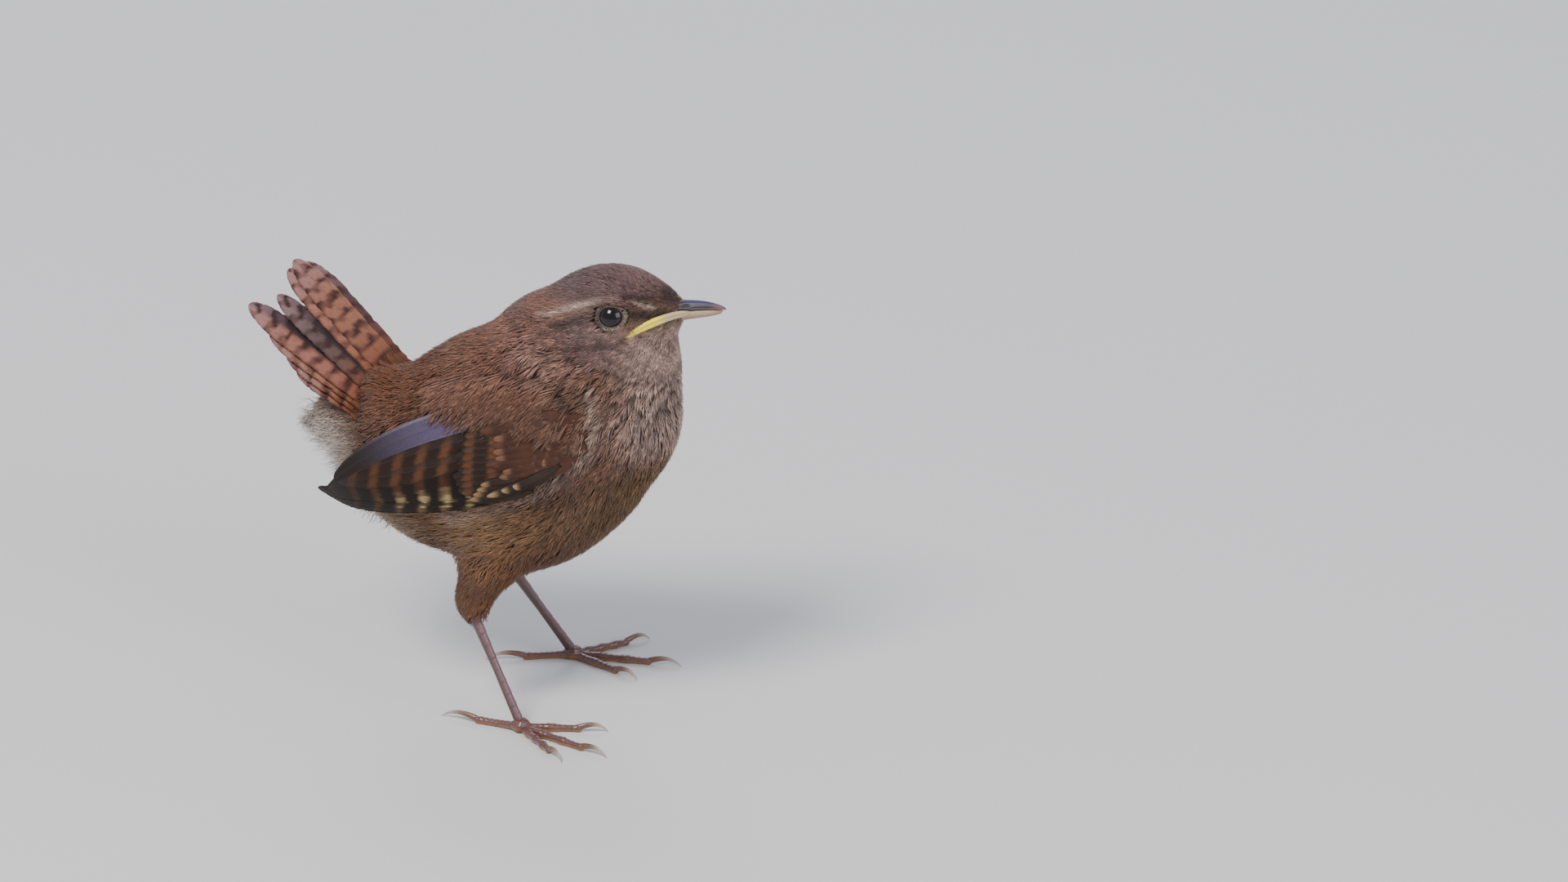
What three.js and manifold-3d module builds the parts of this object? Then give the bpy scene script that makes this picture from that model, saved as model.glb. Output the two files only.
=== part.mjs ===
// A young wren standing with its tail cocked, at life size, in millimetres.
// +X is forward, along the bill; +Y is the bird's left; +Z is up. The origin is on the floor,
// below the middle of the bird's bounding box.
// The plumage is one rounded form, the blend of a few ellipsoids (crown, breast, belly and so on).
// It is parted by thin cuts into head, neck, breast, trunk, rump and vent. Thighs, wings, tail feathers,
// bill, gape, eyes, shanks, feet, toes and claws are pieces of their own.

import * as THREE from "three";
import { mergeVertices } from "three/addons/utils/BufferGeometryUtils.js";
import Module from "manifold-3d";

const wasm = await Module();
wasm.setup();

// Driving dimensions
const GAP = 0.3; // left between neighbouring pieces
const BLEND = 1.5; // how softly the plumage forms run into each other
const UP = new THREE.Vector3(0, 0, 1);
const FACETS = { head: 6, trunk: 6, thigh: 3 }; // how finely each plumage ball is divided

const EYE = { x: 20.5, y: 4.9, z: 63.7, radius: 2.6 };

const BILL = {
  base: [27.6, 63.6], // x and z where the cutting edges meet the face
  middle: [31.6, 64.6],
  tip: [36.1, 64.75],
  halfWidth: 1.75,
  upperHeight: 1.35,
  lowerHeight: 1.25,
  lowerTip: 35.6,
};
const GAPE = {
  front: [29.6, 1.9, 63.9], // x, y and z along the soft edge of the mouth
  bend: [26.4, 4.75, 63.45],
  corner: [23.3, 6.75, 61.9],
  radius: 0.6,
};

const HEEL = [0.0, 9.7, 16.5];
const FOOT = [8.8, 14.5, 1.0];
const SHANK = { top: 0.85, middle: 0.62, bottom: 0.72 }; // half widths
const PAD = [1.55, 1.3, 1.1]; // half sizes of the ball of the foot
// A toe's half width at the foot and the tip, its knuckles, how far its underside is flattened on the
// floor, and how much higher it starts at the foot
const TOE = { radius: 0.62, tip: 0.52, knuckle: 0.1, sink: 0.12, lift: 0.25 };
const CLAW = { radius: 0.46, tip: 0.08, arch: 1.3 };
// Toes of each foot: length, claw length, joints, and heading in degrees from +X towards +Y
const TOES = {
  left: [
    { name: "toe_middle", length: 12.0, claw: 4.2, joints: 3, heading: 3 },
    { name: "toe_inner", length: 9.0, claw: 3.6, joints: 2, heading: -27 },
    { name: "toe_outer", length: 9.8, claw: 3.4, joints: 4, heading: 48 },
    { name: "toe_hind", length: 7.6, claw: 5.2, joints: 1, heading: 198 },
  ],
  right: [
    { name: "toe_middle", length: 12.0, claw: 4.2, joints: 3, heading: -24 },
    { name: "toe_inner", length: 9.0, claw: 3.6, joints: 2, heading: 14 },
    { name: "toe_outer", length: 9.8, claw: 3.4, joints: 4, heading: -48 },
    { name: "toe_hind", length: 7.6, claw: 5.2, joints: 1, heading: 169 },
  ],
};

const WING = {
  bed: { at: [4, 0, 38.5], half: [34.5, 15.0, 17.6] }, // the flank that the wing lies on
  thickness: 1.3,
  // x and z round the folded wing: bend, lower edge, tip, tertials and hidden upper edge
  outline: [
    [18.6, 46.4],
    [15.6, 41.6],
    [8.0, 37.6],
    [-6.5, 33.6],
    [-17.0, 31.9],
    [-24.6, 31.8],
    [-20.4, 38.6],
    [-13.6, 46.2],
    [-6.0, 51.0],
    [6.0, 52.4],
    [14.6, 50.8],
  ],
  middle: [-1, 42],
  inner: 2, // the wing's prism runs from this far out to that and its reach
  reach: 20,
  covertLine: [[5.5, 53], [0.5, 34]], // between the coverts and the flight feathers
  primaryLine: [[6, 41.0], [-26, 34.8]], // between the secondaries and the primaries
};

const TAIL = {
  root: [-9.8, 0, 41.2],
  pitch: 42, // degrees above the floor
  twist: 20, // degrees about its own length, turning its upper side to the bird's right
  thickness: 0.5,
  quill: 1.1, // half width at the root
};
// Tail feathers, each a blade in a layer of its own under the central pair: root and heading across the
// tail (positive to the bird's right, heading in degrees), length and half width
const TAIL_FEATHERS = [
  { name: "tail_central", layer: 0, root: -2.4, heading: -4.5, length: 31.2, halfWidth: 3.4 },
  { name: "tail_right_2", layer: 1, root: 1.0, heading: 1.5, length: 29.4, halfWidth: 2.6 },
  { name: "tail_right_3", layer: 2, root: 1.0, heading: 9, length: 32.0, halfWidth: 2.5 },
  { name: "tail_right_4", layer: 3, root: 1.3, heading: 11.5, length: 27.0, halfWidth: 2.4 },
  { name: "tail_right_5", layer: 4, root: 1.6, heading: 13.5, length: 23.0, halfWidth: 2.3 },
  { name: "tail_left_2", layer: 1, root: -4.2, heading: -4.5, length: 29.8, halfWidth: 2.8 },
  { name: "tail_left_3", layer: 2, root: -4.0, heading: -5, length: 28.4, halfWidth: 2.7 },
  { name: "tail_left_4", layer: 3, root: -3.8, heading: -5.5, length: 26.0, halfWidth: 2.6 },
];

// The plumage forms: middle, half sizes along X, Y and Z, and pitch in degrees, nose up.
// A form with a y other than 0 has a twin on the other side.
const FORMS = [
  { name: "crown", at: [18.9, 0, 62.6], half: [8.9, 6.4, 6.8], pitch: 0 },
  { name: "face", at: [25.4, 0, 63.5], half: [4.4, 3.3, 2.7], pitch: 0 },
  { name: "cheek", at: [19.2, 2.9, 60.2], half: [4.9, 3.8, 4.2], pitch: 0 },
  { name: "throat", at: [21.9, 0, 54.6], half: [7.2, 7.2, 7.4], pitch: 0 },
  { name: "nape", at: [10.8, 0, 55.2], half: [10.0, 9.0, 9.6], pitch: 0 },
  { name: "breast", at: [15.4, 0, 46.0], half: [14.0, 13.0, 13.4], pitch: 0 },
  { name: "keel", at: [14.5, 0, 36.5], half: [9.0, 10.0, 8.6], pitch: 0 },
  { name: "back", at: [-1.0, 0, 46.5], half: [14.2, 11.4, 10.1], pitch: 36 },
  { name: "flank", at: [-1.0, 5.6, 38.6], half: [18.0, 8.6, 9.6], pitch: -6 },
  { name: "belly", at: [4.6, 0, 34.6], half: [15.6, 13.0, 14.0], pitch: 0 },
  { name: "vent", at: [-8.6, 0, 33.2], half: [12.0, 9.4, 9.6], pitch: -30 },
  { name: "rump", at: [-7.6, 0, 43.2], half: [7.5, 8.6, 6.2], pitch: 20 },
  { name: "undertail", at: [-19.6, 0, 40.2], half: [7.8, 5.4, 4.6], pitch: -24 },
  { name: "tail_coverts", at: [-14.0, 0.0, 44.6], half: [6.4, 6.0, 3.4], pitch: -42 },
];
const THIGH_FORMS = [
  { name: "drumstick", at: [3.0, 8.6, 25.4], half: [5.0, 4.0, 4.8], pitch: -28 },
  { name: "shin", at: [0.9, 9.2, 19.8], half: [2.5, 2.4, 4.4], pitch: -22 },
];

// Colours and finishes
const finish = (color, roughness) => new THREE.MeshStandardMaterial({ color, roughness, metalness: 0 });
const BROWN = finish(0x7a5544, 0.9);
const BUFF = finish(0x8a7263, 0.9);
const UMBER = finish(0x5f4630, 0.9);
const RUFOUS = finish(0x6f4637, 0.85);
const BARRED = finish(0x5a3e2e, 0.8);
const HORN_DARK = finish(0x4a4450, 0.4);
const HORN_PALE = finish(0xb5a06a, 0.4);
const GAPE_YELLOW = finish(0xd8c24a, 0.45);
const EYE_BLACK = finish(0x0b0a0c, 0.05);
const LEG_SKIN = finish(0x8a5f58, 0.45);
const CLAW_HORN = finish(0x6a5048, 0.35);

// Signed distance from an ellipsoid's surface, near enough for small distances.
function fromForm(point, form, side) {
  const turn = THREE.MathUtils.degToRad(form.pitch);
  const dx = point.x - form.at[0];
  const dz = point.z - form.at[2];
  const local = [
    dx * Math.cos(turn) + dz * Math.sin(turn),
    point.y - side * form.at[1],
    dz * Math.cos(turn) - dx * Math.sin(turn),
  ];
  const unit = Math.hypot(...local.map((c, i) => c / form.half[i]));
  const slope = Math.hypot(...local.map((c, i) => c / form.half[i] ** 2));
  return (unit * (unit - 1)) / Math.max(slope, 1e-9);
}

// Signed distance from the blend of some forms: negative inside.
function fromPlumage(point, forms) {
  let sum = 0;
  for (const form of forms)
    for (const side of form.at[1] ? [1, -1] : [1]) sum += Math.exp(-fromForm(point, form, side) / BLEND);
  return -BLEND * Math.log(sum);
}

// A geometry with nothing but its positions.
function bare(geometry) {
  for (const name of ["normal", "uv"]) geometry.deleteAttribute(name);
  return geometry;
}

function solid(geometry) {
  const merged = mergeVertices(bare(geometry.clone()), 1e-4);
  return new wasm.Manifold(
    new wasm.Mesh({
      numProp: 3,
      vertProperties: merged.attributes.position.array,
      triVerts: new Uint32Array(merged.index.array),
    }),
  );
}

function geometryOf(made) {
  const mesh = made.getMesh();
  const geometry = new THREE.BufferGeometry();
  geometry.setAttribute("position", new THREE.BufferAttribute(new Float32Array(mesh.vertProperties), 3));
  geometry.setIndex(new THREE.BufferAttribute(new Uint32Array(mesh.triVerts), 1));
  return geometry;
}

// The plumage as a ball round a middle, each of its points moved out to where the blend has that level.
function plumage(forms, middle, detail, level = 0) {
  const STRIDE = 0.5;
  const REACH = 60;
  const HALVINGS = 14;
  const ball = mergeVertices(bare(new THREE.IcosahedronGeometry(1, detail)), 1e-4);
  const spots = ball.attributes.position;
  const start = new THREE.Vector3(...middle);
  const way = new THREE.Vector3();
  const outside = (distance) => {
    const at = start.clone().addScaledVector(way, distance);
    return fromPlumage(at, forms) > level;
  };
  for (let i = 0; i < spots.count; i++) {
    way.fromBufferAttribute(spots, i).normalize();
    let far = STRIDE;
    while (!outside(far) && far < REACH) far += STRIDE;
    let near = far - STRIDE;
    for (let halving = 0; halving < HALVINGS; halving++) {
      const half = (near + far) / 2;
      if (outside(half)) far = half;
      else near = half;
    }
    spots.setXYZ(i, ...start.clone().addScaledVector(way, near));
  }
  return solid(ball);
}

// An ellipsoid as a solid.
function ellipsoid(at, half, around, rings) {
  return solid(new THREE.SphereGeometry(1, around, rings).scale(...half).translate(...at));
}

// A round piece along a curve. sizeAt gives its half width and its heights above and below the curve.
function rod(curve, steps, sides, sizeAt) {
  const piece = new THREE.CylinderGeometry(1, 1, 1, sides, steps);
  const spots = piece.attributes.position;
  for (let i = 0; i < spots.count; i++) {
    const t = spots.getY(i) + 0.5;
    const ahead = curve.getTangent(t);
    const side = new THREE.Vector3().crossVectors(ahead, UP).normalize();
    const rise = new THREE.Vector3().crossVectors(side, ahead);
    const size = sizeAt(t);
    const height = spots.getZ(i) > 0 ? size.above : size.below;
    const spot = curve.getPoint(t);
    spot.addScaledVector(side, spots.getX(i) * size.wide).addScaledVector(rise, spots.getZ(i) * height);
    spots.setXYZ(i, ...spot);
  }
  return solid(piece);
}

const round = (radius) => ({ wide: radius, above: radius, below: radius });
const vector = (numbers) => new THREE.Vector3(...numbers);
const mirrored = ([x, y, z], side) => [x, side * y, z];

const wren = new THREE.Group();
function add(name, made, material) {
  const mesh = new THREE.Mesh(geometryOf(made), material);
  mesh.name = name;
  wren.add(mesh);
}

// Bill: two horny halves that meet along the cutting edges, and the soft yellow gape behind them.
function billHalf(upper, grow = 0) {
  const tipX = upper ? BILL.tip[0] : BILL.lowerTip;
  const tipZ = BILL.tip[1] + (upper ? -0.1 : -0.3);
  const shift = upper ? 0 : -GAP;
  const line = new THREE.CatmullRomCurve3([
    new THREE.Vector3(BILL.base[0], 0, BILL.base[1] + shift),
    new THREE.Vector3(BILL.middle[0], 0, BILL.middle[1] + shift),
    new THREE.Vector3(tipX, 0, tipZ),
  ]);
  return rod(line, 6, 8, (t) => {
    const taper = Math.sqrt(1 - t ** (upper ? 2.6 : 2.0)) * 0.94 + 0.06;
    const narrow = (1 - t) ** 0.8 * 0.93 + 0.07;
    const tall = (upper ? BILL.upperHeight : BILL.lowerHeight) * taper + grow;
    const flat = 0.03 + grow;
    return {
      wide: BILL.halfWidth * narrow + grow,
      above: upper ? tall : flat,
      below: upper ? flat : tall,
    };
  });
}

function gapeEdge(side, grow = 0) {
  const spots = [GAPE.front, GAPE.bend, GAPE.corner].map((spot) => vector(mirrored(spot, side)));
  return rod(new THREE.CatmullRomCurve3(spots), 6, 6, (t) => {
    const fullness = 0.45 + 0.55 * Math.sin(Math.PI * (0.15 + 0.75 * t));
    return round(GAPE.radius * fullness + grow);
  });
}

const billRoom = billHalf(true, GAP).add(billHalf(false, GAP));
add("bill_upper", billHalf(true), HORN_DARK);
add("bill_lower", billHalf(false), HORN_PALE);

const eyeAt = (side) => mirrored([EYE.x, EYE.y, EYE.z], side);
const eye = (side, grow = 0) => ellipsoid(eyeAt(side), Array(3).fill(EYE.radius + grow), 12, 8);

// Wings: each lies on the flank as a thin curved plate, cut to the outline of the folded wing.
function wingPrism(side, grow = 0) {
  const middle = new THREE.Vector2(...WING.middle);
  const grown = WING.outline.map(([x, z]) => {
    const corner = new THREE.Vector2(x, z);
    return corner.add(corner.clone().sub(middle).setLength(grow));
  });
  const loop = new THREE.SplineCurve([...grown, grown[0]]).getPoints(24).slice(0, -1);
  const shape = { depth: WING.reach, bevelEnabled: false };
  const plate = new THREE.ExtrudeGeometry(new THREE.Shape(loop), shape);
  // The outline is drawn in X and Z, so the plate is stood up and pushed to its side.
  plate.rotateX(Math.PI / 2).translate(0, (WING.reach + side * (WING.reach + WING.inner * 2)) / 2, 0);
  return solid(plate);
}
const bed = (grow) => ellipsoid(WING.bed.at, WING.bed.half.map((half) => half + grow), 26, 18);
const wingOf = (side) => wingPrism(side).intersect(bed(WING.thickness)).subtract(bed(0));
const wingRoom = (side) => wingPrism(side, GAP).subtract(bed(-GAP));

// A piece parted by a line drawn in X and Z: what lies on the line's left, and what lies on its right.
function parted(made, [[ax, az], [bx, bz]]) {
  const normal = new THREE.Vector2(az - bz, bx - ax).normalize();
  const offset = normal.x * ax + normal.y * az;
  const left = made.trimByPlane([normal.x, 0, normal.y], offset + GAP / 2);
  const right = made.trimByPlane([-normal.x, 0, -normal.y], -offset + GAP / 2);
  return [left, right];
}

const SIDES = [["left", 1], ["right", -1]];
for (const [label, side] of SIDES) {
  const [coverts, flight] = parted(wingOf(side), WING.covertLine);
  const [primaries, secondaries] = parted(flight, WING.primaryLine);
  add(`wing_${label}_coverts`, coverts, BROWN);
  add(`wing_${label}_secondaries`, secondaries, BARRED);
  add(`wing_${label}_primaries`, primaries, BARRED);
}

// Tail: blades with a narrow quill end and a rounded tip, fanned and layered.
function tailFeather({ layer, root, heading, length, halfWidth }, grow = 0) {
  const edge = [
    [0, TAIL.quill],
    [0.3 * length, 0.72 * halfWidth],
    [0.6 * length, 0.96 * halfWidth],
    [0.84 * length, halfWidth],
    [0.95 * length, 0.78 * halfWidth],
    [length, 0],
  ];
  const half = new THREE.SplineCurve(edge.map(([s, w]) => new THREE.Vector2(s, w))).getPoints(8);
  const loop = [...half, ...half.slice(0, -1).reverse().map((p) => new THREE.Vector2(p.x, -p.y))];
  const middle = new THREE.Vector2(length / 2, 0);
  const grown = loop.map((p) => p.clone().add(p.clone().sub(middle).setLength(grow)));
  const depth = TAIL.thickness + 2 * grow;
  const blade = new THREE.ExtrudeGeometry(new THREE.Shape(grown), { depth, bevelEnabled: false });
  const down = layer * (TAIL.thickness + GAP);
  blade.rotateZ(THREE.MathUtils.degToRad(heading)).translate(0, root, -depth / 2 - down);
  // From along, across and above the tail to the bird's own frame
  const along = new THREE.Vector3(-1, 0, 0);
  const across = new THREE.Vector3(0, -1, 0);
  const above = new THREE.Vector3(0, 0, 1);
  const pose = new THREE.Matrix4()
    .makeTranslation(...TAIL.root)
    .multiply(new THREE.Matrix4().makeRotationY(THREE.MathUtils.degToRad(TAIL.pitch)))
    .multiply(new THREE.Matrix4().makeRotationX(THREE.MathUtils.degToRad(TAIL.twist)))
    .multiply(new THREE.Matrix4().makeBasis(along, across, above));
  return solid(blade.applyMatrix4(pose));
}
for (const feather of TAIL_FEATHERS) add(feather.name, tailFeather(feather), RUFOUS);

// Plumage of the body, clear of all that is set into it
const thighOf = (side, level = 0) => {
  const middle = mirrored([2.4, 8.9, 21.6], side);
  return plumage(THIGH_FORMS, middle, FACETS.thigh, level).trimByPlane([0, side, 0], 0);
};
const rooms = [billRoom];
for (const [, side] of SIDES) rooms.push(gapeEdge(side, GAP), eye(side, GAP), wingRoom(side));
for (const feather of TAIL_FEATHERS) rooms.push(tailFeather(feather, GAP));
const taken = wasm.Manifold.union(rooms);

const HEAD_MIDDLE = [19, 0, 61.5];
const TRUNK_MIDDLE = [3, 0, 40];
const CUTS = {
  head: [[4.5, 66.0], [33.5, 54.8]],
  neck: [[-6.5, 60.5], [36.0, 46.0]],
  breast: [[7.0, 60.0], [15.5, 12.0]],
  rear: [[-3.2, 58.0], [-13.5, 20.0]],
  rump: [[-30.0, 46.2], [0.0, 38.6]],
};
const [head, belowHead] = parted(plumage(FORMS, HEAD_MIDDLE, FACETS.head), CUTS.head);
const [neck] = parted(belowHead, CUTS.neck);
const [, body] = parted(plumage(FORMS, TRUNK_MIDDLE, FACETS.trunk), CUTS.neck);
const [front, behindBreast] = parted(body, CUTS.breast);
const [trunk, rear] = parted(behindBreast, CUTS.rear);
const [rump, vent] = parted(rear, CUTS.rump);
const plumagePieces = { head, neck, breast: front, trunk, rump, vent };
const colours = { head: BROWN, neck: BUFF, breast: BUFF, trunk: UMBER, rump: RUFOUS, vent: BUFF };
for (const [name, piece] of Object.entries(plumagePieces)) add(name, piece.subtract(taken), colours[name]);

// Legs: a feathered thigh, a bare shank, the ball of the foot, and four toes with their claws
const trunkRoom = plumage(FORMS, TRUNK_MIDDLE, FACETS.trunk, GAP);
function toeOf({ length, joints, heading }, foot, grow = 0) {
  const turn = THREE.MathUtils.degToRad(heading);
  const way = new THREE.Vector3(Math.cos(turn), Math.sin(turn), 0);
  const low = TOE.radius - TOE.sink;
  const line = new THREE.LineCurve3(
    new THREE.Vector3(foot.x, foot.y, low + TOE.lift),
    new THREE.Vector3(foot.x, foot.y, low).addScaledVector(way, length),
  );
  return rod(line, 2 * joints + 2, 6, (t) => {
    const swell = TOE.knuckle * Math.abs(Math.cos(Math.PI * joints * t)) ** 4;
    return round(THREE.MathUtils.lerp(TOE.radius, TOE.tip, t) + swell - TOE.knuckle / 2 + grow);
  });
}
function clawOf({ length, claw, heading }, foot) {
  const turn = THREE.MathUtils.degToRad(heading);
  const way = new THREE.Vector3(Math.cos(turn), Math.sin(turn), 0);
  const at = (reach, height) => new THREE.Vector3(foot.x, foot.y, height).addScaledVector(way, reach);
  const base = length + GAP;
  const line = new THREE.QuadraticBezierCurve3(
    at(base, TOE.tip),
    at(base + 0.62 * claw, TOE.tip + CLAW.arch),
    at(base + claw, CLAW.tip),
  );
  return rod(line, 5, 6, (t) => {
    const radius = THREE.MathUtils.lerp(CLAW.radius, CLAW.tip, t ** 1.3);
    return { wide: 0.8 * radius, above: radius, below: radius };
  });
}
for (const [label, side] of SIDES) {
  const thigh = thighOf(side);
  add(`thigh_${label}`, thigh.subtract(trunkRoom), UMBER);
  const heel = vector(mirrored(HEEL, side));
  const foot = vector(mirrored(FOOT, side));
  const pad = ellipsoid([foot.x, foot.y, FOOT[2]], PAD, 10, 6).trimByPlane([0, 0, 1], 0);
  const padRoom = ellipsoid([foot.x, foot.y, FOOT[2]], PAD.map((half) => half + GAP), 10, 6);
  const shank = rod(new THREE.LineCurve3(heel, foot), 4, 8, (t) => {
    const low = THREE.MathUtils.lerp(SHANK.middle, SHANK.bottom, Math.max(0, 2 * t - 1));
    return round(THREE.MathUtils.lerp(SHANK.top, low, Math.min(1, 2 * t)));
  });
  add(`shank_${label}`, shank.subtract(thighOf(side, GAP)).subtract(padRoom), LEG_SKIN);
  add(`foot_${label}`, pad, LEG_SKIN);
  let room = padRoom;
  for (const toe of TOES[label]) {
    const name = `${toe.name}_${label}`;
    add(name, toeOf(toe, foot).subtract(room).trimByPlane([0, 0, 1], 0), LEG_SKIN);
    add(name.replace("toe", "claw"), clawOf(toe, foot).trimByPlane([0, 0, 1], 0), CLAW_HORN);
    room = room.add(toeOf(toe, foot, GAP));
  }
  add(`eye_${label}`, eye(side), EYE_BLACK);
  add(`gape_${label}`, gapeEdge(side).subtract(billRoom), GAPE_YELLOW);
}

export default wren;
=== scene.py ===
import math

import bpy
import numpy as np
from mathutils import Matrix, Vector


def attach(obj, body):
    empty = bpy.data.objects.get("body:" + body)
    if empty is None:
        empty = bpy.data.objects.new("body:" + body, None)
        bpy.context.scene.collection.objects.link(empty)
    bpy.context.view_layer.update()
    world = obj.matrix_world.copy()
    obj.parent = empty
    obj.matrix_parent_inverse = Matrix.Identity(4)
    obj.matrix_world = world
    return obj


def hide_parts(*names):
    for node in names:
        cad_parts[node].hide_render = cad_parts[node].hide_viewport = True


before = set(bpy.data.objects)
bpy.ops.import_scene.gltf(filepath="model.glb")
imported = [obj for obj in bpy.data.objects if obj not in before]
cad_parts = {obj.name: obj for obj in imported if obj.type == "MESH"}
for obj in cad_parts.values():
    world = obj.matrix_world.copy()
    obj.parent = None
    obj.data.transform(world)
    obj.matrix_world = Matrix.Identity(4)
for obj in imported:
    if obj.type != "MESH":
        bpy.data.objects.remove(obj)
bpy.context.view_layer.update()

# The view
# A long lens looks at the bird's right side, from a little ahead of it and above, so nothing is
# drawn larger for being nearer. It is aimed at the empty air before the breast.
view_turn, view_rise, view_distance = math.radians(15), math.radians(22), 2.6
across = Vector((math.cos(view_turn), math.sin(view_turn), 0))
toward = Vector((
    math.sin(view_turn) * math.cos(view_rise), -math.cos(view_turn) * math.cos(view_rise), math.sin(view_rise)
))
upward = toward.cross(across)
view = bpy.data.objects.new("view", bpy.data.cameras.new("view"))
view.data.lens, view.data.sensor_width = 400, 36
view.data.clip_start, view.data.clip_end = 0.1, 20
view.location = across * 0.04378 + upward * 0.03695 + toward * view_distance
view.rotation_euler = (-toward).to_track_quat("-Z", "Y").to_euler()
bpy.context.scene.collection.objects.link(view)
bpy.context.scene.camera = view

# The light
# A pale room, a wide soft lamp above and before the bird, a lower one that fills its front and a
# cool one behind it, all larger than the bird and far enough off to have soft edges.
room = bpy.data.worlds.new("pale room")
room.use_nodes = True
room.node_tree.nodes["Background"].inputs["Color"].default_value = (0.80, 0.86, 1.0, 1)
room.node_tree.nodes["Background"].inputs["Strength"].default_value = 0.62
bpy.context.scene.world = room
for lamp_name, spot, lamp_size, power, tint in (
    ("key lamp", (-0.35, -0.95, 1.35), 0.55, 24.0, (1.0, 0.97, 0.93)),
    ("front lamp", (1.3, -0.75, 0.75), 0.9, 9.0, (0.95, 0.96, 1.0)),
    ("rear lamp", (-0.6, 1.5, 1.2), 0.9, 9.0, (0.86, 0.90, 1.0)),
):
    lamp = bpy.data.objects.new(lamp_name, bpy.data.lights.new(lamp_name, "AREA"))
    lamp.data.size, lamp.data.energy, lamp.data.color = lamp_size, power, tint
    lamp.location = spot
    lamp.rotation_euler = (Vector((0, 0, 0.04)) - Vector(spot)).to_track_quat("-Z", "Y").to_euler()
    lamp.visible_camera = False
    bpy.context.scene.collection.objects.link(lamp)


# The floor
# A wide sheet of pale, matt board that the bird stands on. It isn't part of the bird. Its finish is
# the first one here, so the way that finishes are written comes with it.
class Wire:
    """What a node gives out. Sums and products of wires and numbers add Math nodes."""

    def __init__(self, finish, socket):
        self.finish, self.socket = finish, socket

    def sum_of(self, operation, *values):
        return self.finish.node("ShaderNodeMath", {"operation": operation}, dict(enumerate(values)))

    def __add__(self, other):
        return self.sum_of("ADD", self, other)

    def __sub__(self, other):
        return self.sum_of("SUBTRACT", self, other)

    def __rsub__(self, other):
        return self.sum_of("SUBTRACT", other, self)

    def __mul__(self, other):
        return self.sum_of("MULTIPLY", self, other)

    __radd__, __rmul__ = __add__, __mul__


class Finish:
    """A material and its nodes."""

    def __init__(self, name):
        self.material = bpy.data.materials.new(name)
        self.material.use_nodes = True
        self.tree = self.material.node_tree
        self.tree.nodes.clear()

    def node(self, kind, settings=None, sockets=None, gives=0):
        made = self.tree.nodes.new(kind)
        for setting, value in (settings or {}).items():
            if setting == "stops":
                ramp = made.color_ramp.elements
                while len(ramp) < len(value):
                    ramp.new(0.5)
                for stop, (place, colour) in zip(ramp, value):
                    stop.position, stop.color = place, colour
            else:
                setattr(made, setting, value)
        for socket, value in (sockets or {}).items():
            if isinstance(value, Wire):
                self.tree.links.new(value.socket, made.inputs[socket])
            else:
                made.inputs[socket].default_value = value
        return Wire(self, made.outputs[gives])

    def mix(self, share, first, second, way="MIX"):
        return self.node("ShaderNodeMix", {"data_type": "RGBA", "blend_type": way}, {0: share, 6: first, 7: second}, 2)

    def noise(self, scale, detail, place=None):
        place = place or self.node("ShaderNodeTexCoord", gives=3)
        return self.node("ShaderNodeTexNoise", None, {"Vector": place, "Scale": scale, "Detail": detail})

    def bump(self, strength, distance, height):
        return self.node("ShaderNodeBump", None, {"Strength": strength, "Distance": distance, "Height": height})

    def tinted(self, tone):
        """The colour marked on a mesh, made darker or lighter by tone."""
        grown = self.node("ShaderNodeAttribute", {"attribute_name": "Tint"})
        grey = self.node("ShaderNodeCombineColor", None, {axis: tone for axis in (0, 1, 2)})
        return self.mix(1.0, grown, grey, "MULTIPLY")

    def shine(self, **sockets):
        """Joins the surface to the material. Its sockets are named with _ for a space."""
        named = {name.replace("_", " "): value for name, value in sockets.items()}
        shader = self.node("ShaderNodeBsdfPrincipled", None, named)
        surface = self.tree.nodes.new("ShaderNodeOutputMaterial").inputs["Surface"]
        self.tree.links.new(shader.socket, surface)


floor_half = 3.0
board = Finish("pale board")
mottle = board.noise(3.0, 6.0)
board.shine(
    Base_Color=board.mix(mottle, (0.70, 0.68, 0.665, 1), (0.76, 0.745, 0.73, 1)),
    Roughness=0.8 + 0.1 * mottle,
    Normal=board.bump(0.15, 0.0004, board.noise(900.0, 3.0)),
)
floor_mesh = bpy.data.meshes.new("floor")
floor_corners = [(x * floor_half, y * floor_half, 0) for x, y in ((-1, -1), (1, -1), (1, 1), (-1, 1))]
floor_mesh.from_pydata(floor_corners, [], [(0, 1, 2, 3)])
floor_mesh.materials.append(board.material)
floor = bpy.data.objects.new("floor", floor_mesh)
bpy.context.scene.collection.objects.link(floor)

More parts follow.
